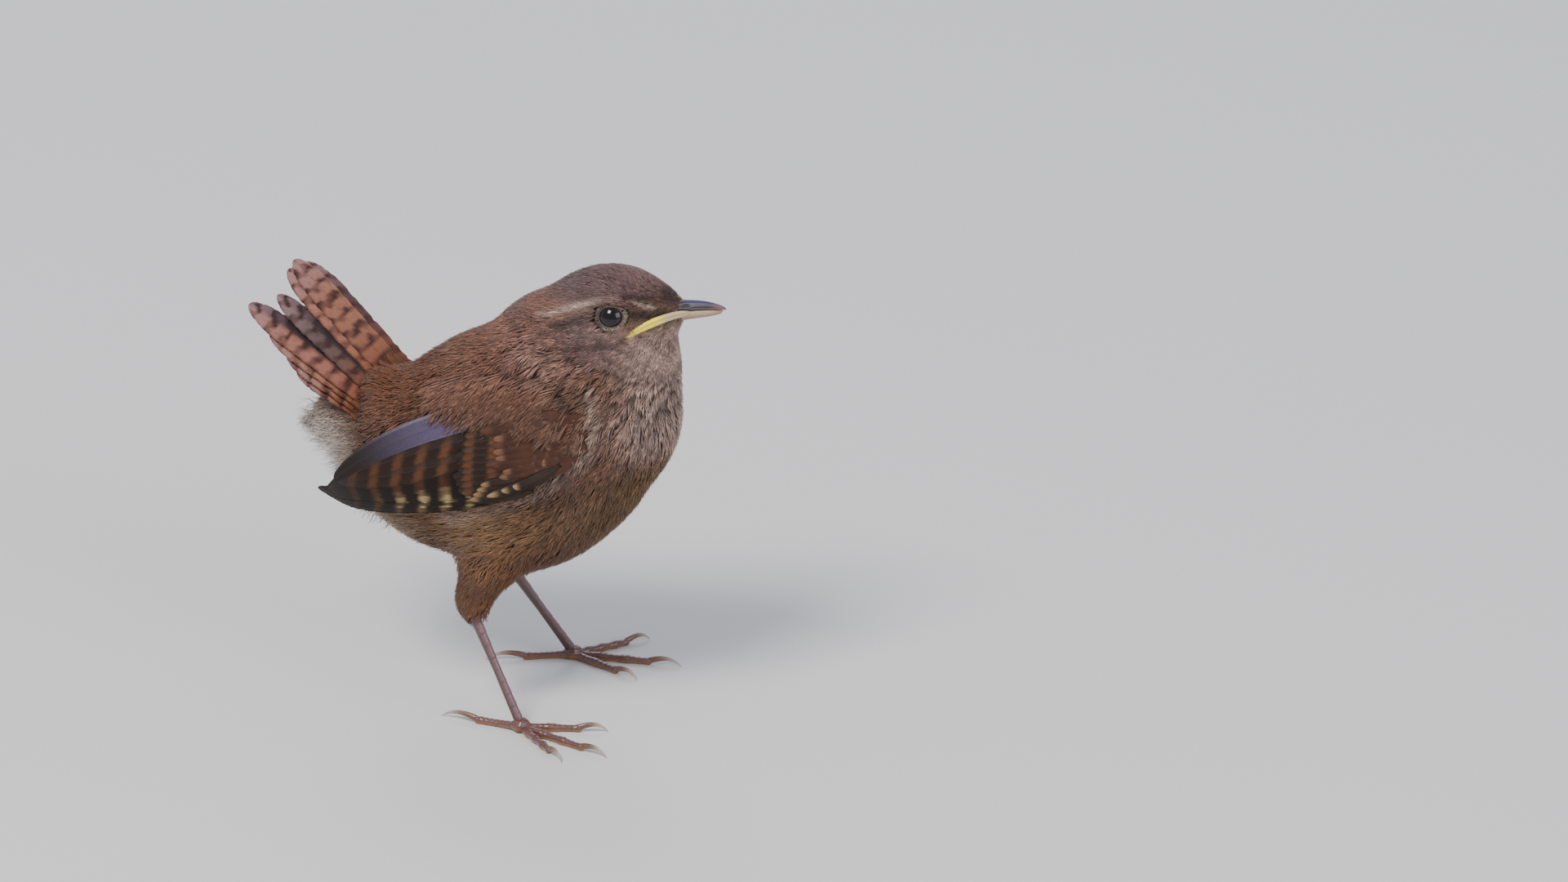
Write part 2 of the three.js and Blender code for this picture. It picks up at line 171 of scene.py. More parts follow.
# The skin
# Under the feathers the bird is one smooth skin over head, neck, breast, trunk, rump, vent and both
# thighs. It is the outline of the plumage drawn in by the depth of the coat, in the coat's colours at
# half their brightness: partly the grey down at the feathers' bases and partly painted shade under the coat.
outline_balls = [  # middle, half sizes and nose-up pitch, in millimetres and degrees
    ((18.9, 0, 62.6), (8.9, 6.4, 6.8), 0),  # crown
    ((25.4, 0, 63.5), (4.4, 3.3, 2.7), 0),  # face
    ((19.2, 2.9, 60.2), (4.9, 3.8, 4.2), 0),  # cheek
    ((21.9, 0, 54.6), (7.2, 7.2, 7.4), 0),  # throat
    ((10.8, 0, 55.2), (10.0, 9.0, 9.6), 0),  # nape
    ((15.4, 0, 46.0), (14.0, 13.0, 13.4), 0),  # breast
    ((14.5, 0, 36.5), (9.0, 10.0, 8.6), 0),  # keel
    ((-1.0, 0, 46.5), (14.2, 11.4, 10.1), 36),  # back
    ((-1.0, 5.6, 38.6), (18.0, 8.6, 9.6), -6),  # flank
    ((4.6, 0, 34.6), (15.6, 13.0, 14.0), 0),  # belly
    ((-8.6, 0, 33.2), (12.0, 9.4, 9.6), -30),  # vent
    ((-7.6, 0, 43.2), (7.5, 8.6, 6.2), 20),  # rump
    ((-19.6, 0, 40.2), (7.8, 5.4, 4.6), -24),  # under the tail
    ((-14.0, 0, 44.6), (6.4, 6.0, 3.4), -42),  # tail coverts
    ((2.8, 8.6, 25.4), (4.7, 4.0, 4.8), -28),  # drumstick
    ((0.9, 9.2, 19.8), (2.5, 2.4, 4.4), -22),  # shin
]
softness = 1.5
skin_middle = np.array([8.0, 0.0, 48.0])
bill_root = np.array([30.0, 0.0, 64.5])
eye_middle = np.array([20.5, 4.9, 63.7])
rng = np.random.default_rng(41)


def ball_rows(balls):
    """Each ball as a row of middle, half sizes, cosine and sine; one off the middle plane twice."""
    return np.array([
        (x, side * y, z, *half, math.cos(math.radians(pitch)), math.sin(math.radians(pitch)))
        for (x, y, z), half, pitch in balls
        for side in ((1, -1) if y else (1,))
    ])


body_rows = ball_rows(outline_balls)


def unit(vectors):
    return vectors / np.maximum(np.linalg.norm(vectors, axis=-1, keepdims=True), 1e-9)


def outside(points, rows=body_rows):
    """How far points lie outside the outline of the plumage, negative within, and the way out of it."""
    far, out = [], []
    for part in np.array_split(points, max(1, len(points) // 30000)):
        gap = part[:, None, :] - rows[:, :3]
        c, s = rows[:, 6], rows[:, 7]
        local = np.stack([gap[..., 0] * c + gap[..., 2] * s, gap[..., 1], gap[..., 2] * c - gap[..., 0] * s], -1)
        share = np.linalg.norm(local / rows[:, 3:6], axis=-1)
        steep = local / rows[:, 3:6] ** 2
        slope = np.maximum(np.linalg.norm(steep, axis=-1), 1e-9)
        pull = np.exp(-share * (share - 1) / slope / softness)
        steep *= (pull / slope)[..., None]
        far.append(-softness * np.log(pull.sum(1)))
        out.append(np.stack([
            (steep[..., 0] * c - steep[..., 2] * s).sum(1),
            steep[..., 1].sum(1),
            (steep[..., 0] * s + steep[..., 2] * c).sum(1),
        ], -1))
    return np.concatenate(far), unit(np.concatenate(out))


def ease(value, low, high):
    """0 below low, 1 above high and smooth between them."""
    share = np.clip((value - low) / (high - low), 0, 1)
    return share * share * (3 - 2 * share)


def coat_depth(points):
    """How deep the feathers are: thin round the bill, deep on the belly and thin again on the shin."""
    from_bill = np.linalg.norm(points - bill_root, axis=1)
    return (0.22 + 0.88 * ease(from_bill, 3, 24)) * (0.45 + 0.55 * ease(points[:, 2], 17, 27))


def linear(red, green, blue):
    """A colour as seen, from 0 to 255, as the amounts of light that Blender takes."""
    seen = np.array([red, green, blue]) / 255
    return np.where(seen <= 0.04045, seen / 12.92, ((seen + 0.055) / 1.055) ** 2.4)


def folded(points):
    """Points moved to the same place on the bird's left half."""
    return points * [1, 0, 1] + np.abs(points) * [0, 1, 0]


def near_line(points, corners):
    """Distance of points from a line through corners, on either side of the bird."""
    here = folded(points)
    best = np.full(len(points), 1e9)
    for start, end in zip(corners[:-1], corners[1:]):
        start, step = np.array(start, float), np.subtract(end, start)
        share = np.clip((here - start) @ step / (step @ step), 0, 1)
        best = np.minimum(best, np.linalg.norm(here - start - share[:, None] * step, axis=1))
    return best


def ripple(points, size, turn=0.0):
    """A cloudy pattern from -1 to 1 whose clouds are about size across."""
    a = 2 * np.pi / size
    x, y, z = points.T
    return (
        np.sin(a * (0.81 * x + 0.36 * np.abs(y) + 0.47 * z) + turn)
        + np.sin(a * (0.29 * x - 0.74 * np.abs(y) + 0.83 * z) * 1.31 + 2.1 + turn)
        + np.sin(a * (-0.92 * x + 0.24 * np.abs(y) + 0.51 * z) * 0.83 + 4.4 - turn)
    ) / 3


patches = [  # colour, middle, half sizes: laid over each other in this order
    ((134, 90, 70), (-2, 0, 56), (16, 22, 9)),  # mantle
    ((168, 116, 96), (8, 0, 62), (9, 16, 6.5)),  # nape
    # The crown's greyer, pinker tone is partly its own colour and partly a painted reflection of the sky on the top of
    # the head.
    ((126, 96, 94), (18, 0, 69), (10, 9, 5)),  # crown
    ((84, 62, 60), (28.6, 0, 66.9), (2.0, 5, 1.5)),  # forehead
    ((156, 120, 112), (17, 8, 60), (6.5, 5, 4)),  # ear coverts
    ((152, 112, 96), (10, 10, 57), (6, 6, 4)),  # side of the neck
    ((192, 162, 148), (26, 0, 57), (8, 11, 7)),  # throat
    ((176, 148, 136), (27, 0, 47), (10, 13, 8)),  # breast
    ((118, 88, 56), (22, 0, 33), (14, 13, 9)),  # belly
    ((134, 98, 64), (0, 13, 31), (15, 9, 6)),  # flank
    ((130, 88, 54), (2, 12, 20), (7, 8, 7)),  # thigh
    ((124, 76, 48), (-12, 0, 48), (9, 12, 6)),  # rump
    ((170, 148, 118), (-16, 0, 30), (9, 12, 8)),  # vent
    ((222, 208, 194), (-24, 0, 37), (9, 9, 6.5)),  # under the tail
]
stripes = [  # colour, strength, half width, line
    ((226, 200, 180), 0.9, 0.58, (  # brow
        (9.5, 5.5, 63.2), (11.1, 5.6, 63.7), (13.5, 5.8, 64.7), (16.5, 6.2, 65.7), (18.8, 5.9, 66.3), (21.0, 5.7, 66.4),
    )),
    ((198, 172, 152), 0.85, 0.45, ((23.6, 5.0, 66.2), (24.9, 4.7, 65.8), (26.4, 4.1, 65.3))),  # before the eye
    ((76, 55, 50), 0.85, 0.85, ((12.0, 6.9, 62.0), (15.3, 7.0, 63.2), (17.6, 7.3, 63.8))),  # behind the eye
    ((52, 38, 34), 0.9, 0.85, ((22.8, 6.6, 65.0), (25.4, 5.6, 64.4), (28.0, 3.4, 64.2))),  # lores
    ((60, 42, 38), 0.8, 0.6, ((22.2, 5.2, 67.2), (26.5, 3.6, 66.6))),  # dark over the lores
    ((186, 158, 144), 0.7, 0.5, ((15.0, 7.8, 61.4), (18.5, 7.9, 61.3), (21.9, 7.5, 61.9))),  # under the eye
    ((84, 58, 52), 0.65, 0.5, (  # moustache
        (23.0, 7.2, 60.8), (21.5, 7.9, 60.2), (17.4, 8.3, 59.7), (13.0, 8.4, 58.6),
    )),
    ((178, 154, 138), 0.6, 1.4, (  # breast side
        (18.2, 11.0, 52.4), (19.2, 12.1, 48.0), (17.9, 12.6, 43.6), (13.0, 12.6, 38.6), (5.0, 13.4, 35.2), (-4.0, 12.6, 32.0),
    )),
]


def markings(points):
    """The colour of the plumage at each point."""
    here = folded(points)
    colour = np.tile(linear(118, 82, 62), (len(points), 1))
    for seen, middle, half in patches:
        far = np.linalg.norm((here - middle) / half, axis=1)
        share = (1 - ease(far, 0.55, 1.35))[:, None]
        colour += share * (linear(*seen) - colour)
    for seen, strength, half_width, line in stripes:
        share = (strength * np.exp(-(near_line(points, line) / half_width) ** 2))[:, None]
        colour += share * (linear(*seen) - colour)
    mottled = ease(points[:, 0], 4, 12) * (1 - ease(points[:, 2], 62.0, 63.5)) * ease(points[:, 2], 36, 42)
    clouds = (
        1 + 0.10 * ripple(points, 7.0) + (0.10 + 0.20 * mottled) * ripple(points, 2.4, 1.3)
        + 0.22 * mottled * ripple(points, 1.5, 3.7)
    )
    return colour * clouds[:, None]


def bake_spot(points, side=None):
    """A point's place on the unwrapped skin: each half of the bird is spread into its own disc."""
    way = unit(points - skin_middle)
    side = np.where(way[:, 1] < 0, -1, 1) if side is None else side
    off_axis = np.arccos(np.clip(way[:, 1] * side, -1, 1))
    flat = unit(way[:, [0, 2]]) * (np.sin(off_axis / 2) / math.sin(math.pi / 4))[:, None]
    return np.stack([0.5 + side * (0.25 - 0.245 * flat[:, 0]), 0.5 + 0.48 * flat[:, 1]], -1)


def make(name, points, faces, finish, stands_for=(), marks=None, bake=None):
    """Makes a piece from points in millimetres and arrays of faces, and rides it on the bird.
    marks are its colours or vectors at each point, and bake is its place on the OFBake map."""
    mesh = bpy.data.meshes.new(name)
    corners = np.concatenate([np.asarray(some).ravel() for some in faces]).astype(np.int32)
    sides = np.concatenate([np.full(len(some), np.shape(some)[1]) for some in faces])
    mesh.vertices.add(len(points))
    mesh.vertices.foreach_set("co", (np.asarray(points) / 1000).astype(np.float32).ravel())
    mesh.loops.add(len(corners))
    mesh.loops.foreach_set("vertex_index", corners)
    mesh.polygons.add(len(sides))
    mesh.polygons.foreach_set("loop_start", np.concatenate([[0], np.cumsum(sides)[:-1]]).astype(np.int32))
    mesh.polygons.foreach_set("use_smooth", np.ones(len(sides), bool))
    mesh.update(calc_edges=True)
    for mark, values in (marks or {}).items():
        if mark == "Tint":
            layer = mesh.color_attributes.new(mark, "FLOAT_COLOR", "POINT")
            full = np.concatenate([values, np.ones((len(values), 1))], 1)
            layer.data.foreach_set("color", full.astype(np.float32).ravel())
        else:
            layer = mesh.attributes.new(mark, "FLOAT_VECTOR", "POINT")
            layer.data.foreach_set("vector", values.astype(np.float32).ravel())
    if bake is not None:
        bake = bake if len(bake) == len(corners) else bake[corners]
        mesh.uv_layers.new(name="OFBake").data.foreach_set("uv", bake.astype(np.float32).ravel())
    mesh.materials.append(finish)
    piece = bpy.data.objects.new(name, mesh)
    bpy.context.scene.collection.objects.link(piece)
    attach(piece, "root")
    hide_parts(*stands_for)


def all_round(count):
    return np.arange(count) * 2 * np.pi / count


skin_rings, skin_columns = 144, 288
polar = np.linspace(0, np.pi, skin_rings + 1)[1:-1]
round_y = all_round(skin_columns)
skin_ways = np.concatenate([
    [[0, 1, 0]],
    np.stack(np.broadcast_arrays(
        np.sin(polar)[:, None] * np.cos(round_y), np.cos(polar)[:, None], np.sin(polar)[:, None] * np.sin(round_y)
    ), -1).reshape(-1, 3),
    [[0, -1, 0]],
])
inner, outer = np.zeros(len(skin_ways)), np.full(len(skin_ways), 55.0)
for halving in range(20):
    halfway = (inner + outer) / 2
    tried = skin_middle + skin_ways * halfway[:, None]
    beyond = outside(tried)[0] > -coat_depth(tried)
    inner, outer = np.where(beyond, inner, halfway), np.where(beyond, halfway, outer)
skin_points = skin_middle + skin_ways * inner[:, None]
column = np.arange(skin_columns)
after = (column + 1) % skin_columns
starts = 1 + np.arange(skin_rings - 2)[:, None] * skin_columns
below = starts + skin_columns
skin_quads = np.stack([starts + column, below + column, below + after, starts + after], -1)
skin_quads = skin_quads.reshape(-1, 4)[:, ::-1]
last = len(skin_points) - 1
skin_caps = np.concatenate([
    np.stack([np.zeros_like(column), 1 + after, 1 + column], -1),
    np.stack([np.full_like(column, last), last - skin_columns + column, last - skin_columns + after], -1),
])[:, ::-1]
feather = Finish("soft plumage")
fine, broad = feather.noise(2600.0, 3.0), feather.noise(320.0, 4.0)
feather.shine(
    Base_Color=feather.tinted(0.62 + 0.38 * fine + 0.38 * broad),
    Roughness=0.55 + 0.2 * broad,
    Specular_IOR_Level=0.3,
    Sheen_Weight=0.12,
    Sheen_Roughness=0.5,
    Normal=feather.bump(0.25, 0.0001, fine),
)
quad_middles = skin_points[skin_quads].mean(1)
cap_middles = skin_points[skin_caps].mean(1)
corner_sides = np.concatenate([
    np.repeat(np.where(middles[:, 1] < 0, -1, 1), corners) for middles, corners in ((quad_middles, 4), (cap_middles, 3))
])
corner_points = skin_points[np.concatenate([skin_quads.ravel(), skin_caps.ravel()])]
# The skin takes the markings at half brightness: partly grey down and partly painted shade under the feathers.
make(
    "skin", skin_points, [skin_quads, skin_caps], feather.material,
    ("head", "neck", "breast", "trunk", "rump", "vent", "thigh_left", "thigh_right"),
    {"Tint": markings(skin_points) * 0.5}, bake_spot(corner_points, corner_sides),
)

# The coat
# Small body feathers, each a soft fan of fine barbs on a short shaft, rooted in the skin and lying
# over the next ones. They run away from the bill, round the eye, back along the flank and down over
# the shoulder, and are smallest on the face and longest and loosest on the belly and vent.
wing_outline = np.array([
    (18.6, 46.4), (15.6, 41.6), (8.0, 37.6), (-6.5, 33.6), (-17.0, 31.9), (-24.6, 31.8),
    (-20.4, 38.6), (-13.6, 46.2), (-6.0, 51.0), (6.0, 52.4), (14.6, 50.8),
])


def lie(points, up):
    """The way that the coat lies at each point."""
    side = np.where(points[:, 1:2] < 0, -1, 1)
    way = unit(points - bill_root)
    from_eye = points - eye_middle * np.concatenate([np.ones_like(side), side, np.ones_like(side)], 1)
    eye_gap = np.linalg.norm(from_eye * [1, 0.3, 1], axis=1)
    way += 1.5 * unit(from_eye) * np.exp(-(((eye_gap - 1.9) / 1.0) ** 2))[:, None]
    height, x = points[:, 2], points[:, 0]
    wide = ease(np.abs(points[:, 1]), 4, 9)
    shoulder = wide * ease(height, 45, 49) * (1 - ease(height, 55, 59)) * (1 - ease(x, 8, 14)) * ease(x, -12, -4)
    way += shoulder[:, None] * [0.0, 0.0, -0.9]
    flank = wide * (1 - ease(height, 36, 40)) * (1 - ease(x, 8, 16)) * ease(height, 24, 29)
    way += flank[:, None] * [-1.1, 0.0, 0.25]
    return unit(way - up * (way * up).sum(1, keepdims=True))


def settle(points, level, rows):
    """Moves points straight in or out of the coat to a level."""
    for again in range(2):
        far, out = outside(points, rows)
        points = points + out * np.clip(level - far, -1.5, 1.5)[:, None]
    return points


def within(points, corners):
    """Which points lie within an outline drawn in X and Z."""
    x, z = points[:, 0], points[:, 2]
    inside = np.zeros(len(points), bool)
    for (ax, az), (bx, bz) in zip(corners, np.roll(corners, -1, 0)):
        crosses = (az > z) != (bz > z)
        inside ^= crosses & (x < (bx - ax) * (z - az) / (bz - az + 1e-12) + ax)
    return inside


def at(points, value):
    """A value at each point, from a number or from a function of the points."""
    return value(points) if callable(value) else np.full(len(points), value)


def barb_mesh(rings, tips, sizes, ups, acrosses):
    """Closed three-sided barbs from their rings' middles, half widths and directions, and their tips."""
    count, steps = len(tips), len(rings)
    points = np.empty((count, 3 * steps + 1, 3))
    for step in range(steps):
        half = sizes[step][:, None]
        points[:, 3 * step] = rings[step] + acrosses[step] * half
        points[:, 3 * step + 1] = rings[step] + ups[step] * half * 0.7
        points[:, 3 * step + 2] = rings[step] - acrosses[step] * half
    points[:, -1] = tips
    first = (np.arange(count) * (3 * steps + 1))[:, None, None]
    quads = np.array([
        (3 * s + k, 3 * s + (k + 1) % 3, 3 * s + 3 + (k + 1) % 3, 3 * s + 3 + k) for s in range(steps - 1) for k in range(3)
    ])
    outermost = 3 * (steps - 1)
    ends = np.array([(outermost + k, outermost + (k + 1) % 3, 3 * steps) for k in range(3)] + [(0, 2, 1)])
    return points.reshape(-1, 3), [(first + quads).reshape(-1, 4), (first + ends).reshape(-1, 3)]


mouth_line = ((29.8, 2.1, 63.85), (27.2, 4.25, 63.45), (25.2, 5.7, 62.8), (22.9, 7.0, 61.4))
gaze = unit(np.array([0.10, 0.93, 0.34]))
eye_front = unit(np.cross(gaze, [0.0, 0.0, 1.0]))
eye_top = np.cross(eye_front, gaze)


def lid_edge(spin):
    """How far round the eyeball from the gaze the lids begin: a wide oval, flatter above."""
    tall = np.where(np.sin(spin) > 0, math.radians(33), math.radians(38))
    return 1 / np.sqrt((np.cos(spin) / math.radians(44)) ** 2 + (np.sin(spin) / tall) ** 2)


def clear_of_eye(points):
    """Which points don't lie over the open part of an eye."""
    away = unit(folded(points) - eye_middle)
    spin = np.arctan2(away @ eye_top, away @ eye_front)
    return np.arccos(np.clip(away @ gaze, -1, 1)) > lid_edge(spin) + 0.04


def coat(
    name, where, spacing, length, barbs, fan, breadth, tips,
    lift=0.0, fringe=0.2, wild=0.06, long=True, rows=body_rows, scallop=0.15,
):
    """Covers part of the skin with feathers. where picks the skin's faces, spacing is the distance between
    roots, fan how far the outer barbs turn from the shaft, tips the level of the tips and lift how far above it
    some stand, fringe how dark they are, wild how unruly the barbs are, long whether a barb has three stretches,
    rows the surface that they follow and scallop how much paler a feather's middle is than its sides."""
    corners = skin_points[skin_quads]
    area = np.linalg.norm(np.cross(corners[:, 2] - corners[:, 0], corners[:, 3] - corners[:, 1]), axis=1) / 2
    weight = np.cumsum(area * where(quad_middles) / at(quad_middles, spacing) ** 2)
    count = int(weight[-1])
    chosen = np.searchsorted(weight, (np.arange(count) + rng.random(count)) / count * weight[-1])
    a, b = rng.random((2, count, 1))
    shares = ((1 - a) * (1 - b), a * (1 - b), a * b, (1 - a) * b)
    roots = sum(share * corners[chosen, corner] for corner, share in enumerate(shares))
    feather_length = at(roots, length) * rng.normal(1, 0.09, count)
    feather_tone = rng.normal(1, 0.12, count)
    feather_rise = rng.normal(0, 0.13, count)
    feather_turn = rng.normal(0, wild, count)
    share = np.linspace(-1, 1, barbs)
    shaft = 0.42 * (1 - np.abs(share))
    depth = np.repeat(coat_depth(roots), barbs)
    each = np.repeat(np.arange(count), barbs)
    full, part = feather_length[each], np.tile(share, count)
    start = roots[each]
    up = outside(start, rows)[1]
    middle_level = -depth * (0.62 + feather_rise[each])
    up_shaft = np.tile(shaft, count)
    start = settle(start + lie(start, up) * (full * up_shaft)[:, None], -depth * (0.95 - 0.5 * up_shaft), rows)
    turn = part * fan + feather_turn[each] + rng.normal(0, wild, len(each))
    span = full * (1 - 0.42 * part ** 2 - up_shaft) / np.cos(np.clip(part * fan, -1, 1))
    span = span * rng.normal(1, 0.08, len(each))
    half = 0.5 * at(start, breadth) * rng.uniform(0.75, 1.2, len(each))
    end_level = tips * depth + lift * rng.random(len(each)) ** 2
    if long:  # of each stretch: its share of the barb, the level and half width at its end, and the turn left
        late_level = (middle_level + end_level) / 2
        plan = ((0.36, middle_level, 1.0, 0.9), (0.34, late_level, 0.86, 0.75), (0.30, end_level, 0.0, 0.5))
    else:
        plan = ((0.52, middle_level, 1.0, 0.8), (0.48, end_level, 0.0, 0.5))
    rings, ups, acrosses, sizes, spot = [], [], [], [], start
    for step in range(len(plan) + 1):
        up = outside(spot, rows)[1]
        along = lie(spot, up)
        over = np.cross(up, along)
        angle = turn * (1 if step == 0 else plan[step - 1][3])
        along = along * np.cos(angle)[:, None] + over * np.sin(angle)[:, None]
        rings.append(spot)
        ups.append(up)
        acrosses.append(np.cross(up, along))
        sizes.append(half * (0.7 if step == 0 else plan[step - 1][2]))
        if step < len(plan):
            spot = settle(spot + along * (span * plan[step][0])[:, None], plan[step][1], rows)
    keep = np.ones(len(each), bool)
    for ring in rings:
        keep &= clear_of_eye(ring) & (near_line(ring, mouth_line) > 0.38)
    tips_at, rings = rings[-1][keep], [ring[keep] for ring in rings[:-1]]
    ups, acrosses, sizes = [v[keep] for v in ups], [v[keep] for v in acrosses], [v[keep] for v in sizes]
    points, faces = barb_mesh(rings, tips_at, sizes, ups, acrosses)
    tone = (feather_tone[each] * rng.normal(1, 0.09, len(each)) * (1 + scallop * (0.4 - part ** 2)))[keep, None]
    seen = markings((rings[-1] + tips_at) / 2) * tone
    dark = at(tips_at, fringe)[:, None]
    # Each barb is darker toward its root and brightest near its end: partly the grey down at the feather's base and
    # partly painted shade deep in the coat.
    root_shade_ladder = [0.45, 0.95, 1.08] if long else [0.55, 1.05]
    shades = [seen * shade for shade in root_shade_ladder for corner in range(3)] + [seen * (1 - dark)]
    colours = np.stack(shades, 1).reshape(-1, 3)
    home = bake_spot(roots)[each][keep]
    steps = len(rings)
    patch = np.array([[(k % 3 - 1) * 0.0003, (k // 3) / steps * 0.003 - 0.0015] for k in range(3 * steps + 1)])
    fan_place = np.stack([part[keep] * 0.0012, np.zeros(keep.sum())], -1)
    bake = (home[:, None, :] + fan_place[:, None, :] + patch).reshape(-1, 2)
    make(name, points, faces, feather.material, (), {"Tint": colours}, bake)


def from_bill(points):
    return np.linalg.norm(points - bill_root, axis=1)


def side_of(points, start, end):
    """Distance to the left of a line drawn in X and Z."""
    step = unit(np.subtract(end, start).astype(float))
    return step[0] * (points[:, 2] - start[1]) - step[1] * (points[:, 0] - start[0])


def in_head(points):
    return side_of(points, (4.5, 63.0), (33.5, 53.0)) > 0


def in_front(points):
    return side_of(points, (7.0, 60.0), (15.5, 12.0)) > 0


def in_rear(points):
    return side_of(points, (-3.2, 58.0), (-13.5, 20.0)) < 0


def in_rump(points):
    return side_of(points, (-30.0, 45.0), (0.0, 40.0)) > 0


def on_thigh(points):
    return (np.abs(points[:, 1]) > 3.5) & (points[:, 2] < 24.5) & (points[:, 0] < 9)


def under_wing(points):
    centre = np.array([-1.0, 42.0])
    shrunk = centre + (wing_outline - centre) * 0.80
    return within(points, shrunk) & (np.abs(points[:, 1]) > 6)


def body_length(points):
    return 0.95 + 3.9 * ease(from_bill(points), 3, 26)


def barb_width(points):
    return 0.11 + 0.12 * ease(from_bill(points), 4, 22)


over_eyes = np.vstack([body_rows, ball_rows([(tuple(eye_middle), (2.45, 2.45, 2.45), 0)])])
coat("face_feathers", lambda p: (from_bill(p) < 10.5) & in_head(p) & clear_of_eye(p), 0.36,
     body_length, 5, 0.5, barb_width, -0.05,
     lift=0.05, fringe=0.25, wild=0.10, long=False, rows=over_eyes, scallop=0.3)
coat("head_feathers", lambda p: (from_bill(p) >= 10.5) & in_head(p) & clear_of_eye(p),
     lambda p: 0.52 + 0.18 * ease(from_bill(p), 12, 24), body_length, 9, 0.45, barb_width, -0.05,
     lift=0.16, fringe=lambda p: 0.25 + 0.40 * (p[:, 2] < 63), wild=0.08, long=False, rows=over_eyes, scallop=0.35)
coat("breast_feathers", lambda p: ~in_head(p) & in_front(p) & ~under_wing(p), 1.04,
     body_length, 9, 0.42, barb_width, -0.04, lift=0.22, fringe=0.35, wild=0.08, scallop=0.5)
coat("back_feathers", lambda p: ~in_head(p) & ~in_front(p) & ~in_rear(p) & (p[:, 2] > 42) & ~under_wing(p), 0.95,
     body_length, 9, 0.38, barb_width, -0.04, lift=0.12, fringe=0.15, wild=0.06)
coat("belly_feathers", lambda p: ~in_front(p) & ~in_rear(p) & (p[:, 2] <= 42) & ~on_thigh(p) & ~under_wing(p), 1.0,
     lambda p: 1.15 * body_length(p), 9, 0.36, barb_width, -0.02, lift=0.35, fringe=0.15, wild=0.12)
coat("vent_feathers", lambda p: in_rear(p) & ~in_rump(p) & ~under_wing(p), 0.98,
     lambda p: 1.25 * body_length(p), 9, 0.40, barb_width, 0.0, lift=0.6, fringe=0.35, wild=0.18)
coat("undertail_fluff", lambda p: (p[:, 0] < -13.5) & in_rear(p) & ~in_rump(p) & (p[:, 2] > 29), 1.0,
     8.0, 11, 0.62, 0.11, 0.5, lift=2.6, fringe=0.72, wild=0.34, scallop=0.3)
coat("rump_feathers", lambda p: in_rear(p) & in_rump(p) & ~under_wing(p), 0.95,
     lambda p: 1.2 * body_length(p), 9, 0.40, barb_width, -0.02, lift=0.4, fringe=0.15, wild=0.14)
over_shank = np.vstack([body_rows, ball_rows([((0.9, 10.2, 15.4), (0.75, 0.8, 2.9), 30)])])
coat("thigh_feathers", on_thigh, 0.62,
     lambda p: 2.3 + 1.5 * ease(p[:, 2], 17, 25), 7, 0.32, 0.16, -0.05,
     lift=0.12, fringe=0.18, wild=0.10, long=False, rows=over_shank)

# The feathers over the shoulder
# Longer mantle feathers hang from the back over the roots of the wing and hide its upper edge, and
# short ones cover the bend of the wing. They are the same soft brown feathers: the long ones lie on
# body and folded wing as one surface, the short ones on the swell of the breast side.
over_bend = np.vstack([body_rows, ball_rows([((12.6, 0, 45.2), (6.6, 14.9, 6.4), 0)])])
over_wing = np.vstack([over_bend, ball_rows([((4.0, 0, 38.5), (36.0, 16.5, 19.0), 0)])])
shoulder_patch = np.array([
    (-2.6, 49.6), (-4.0, 51.6), (0.0, 53.8), (12.0, 54.6), (16.4, 51.6), (15.8, 48.4), (10.0, 48.3), (5.0, 48.2),
])
bend_patch = np.array([(18.4, 50.5), (18.6, 42.6), (16.8, 41.6), (15.6, 43.2), (15.4, 49.5)])
coat("shoulder_feathers", lambda p: within(p, shoulder_patch) & (np.abs(p[:, 1]) > 8), 0.80,
     5.2, 9, 0.36, barb_width, -0.04, lift=0.12, fringe=0.12, wild=0.06, rows=over_wing)
coat("wing_bend_feathers", lambda p: within(p, bend_patch) & (np.abs(p[:, 1]) > 8), 0.75,
     3.8, 9, 0.40, barb_width, -0.04, lift=0.15, fringe=0.2, wild=0.10, rows=over_bend)

# The wings
# Each folded wing is a stack of stiff vanes: tertials over secondaries over primaries, with rows of
# coverts over their roots. A vane is a thin, arched blade with a shaft, rooted in the wing's skin.
vane_finish = Finish("stiff vane")
lay = vane_finish.node("ShaderNodeAttribute", {"attribute_name": "Barbs"}, None, 1)
split = vane_finish.node("ShaderNodeSeparateXYZ", None, {0: lay}, 0)
off_shaft = split.sum_of("ABSOLUTE", split)
down_shaft = vane_finish.node("ShaderNodeSeparateXYZ", None, {0: lay}, 1)
fine = vane_finish.noise(1500.0, 4.0)
barb_pitch = 0.34
barb_wave = (down_shaft - off_shaft * 1.2 + fine * 0.25) * (2 * math.pi / barb_pitch)
barb_lines = barb_wave.sum_of("SINE", barb_wave)
shaft_line = barb_lines.sum_of("LESS_THAN", off_shaft, 0.085)
barbed = vane_finish.tinted(0.80 + barb_lines * 0.13 + fine * 0.36)
vane_finish.shine(
    Base_Color=vane_finish.mix(shaft_line * 0.35, barbed, (0.05, 0.03, 0.022, 1)),
    Roughness=0.50 + 0.15 * fine,
    Specular_IOR_Level=0.2,
    Normal=vane_finish.bump(0.45, 0.00012, barb_lines * 0.5 + shaft_line * 1.5),
)


def blend(first, second, share):
    return first + (second - first) * np.asarray(share)[..., None]


def curve_toward(first, pull, last, share):
    """Spots on the curve from first to last that leaves and arrives in line with pull."""
    return (1 - share) ** 2 * first + 2 * share * (1 - share) * pull + share ** 2 * last


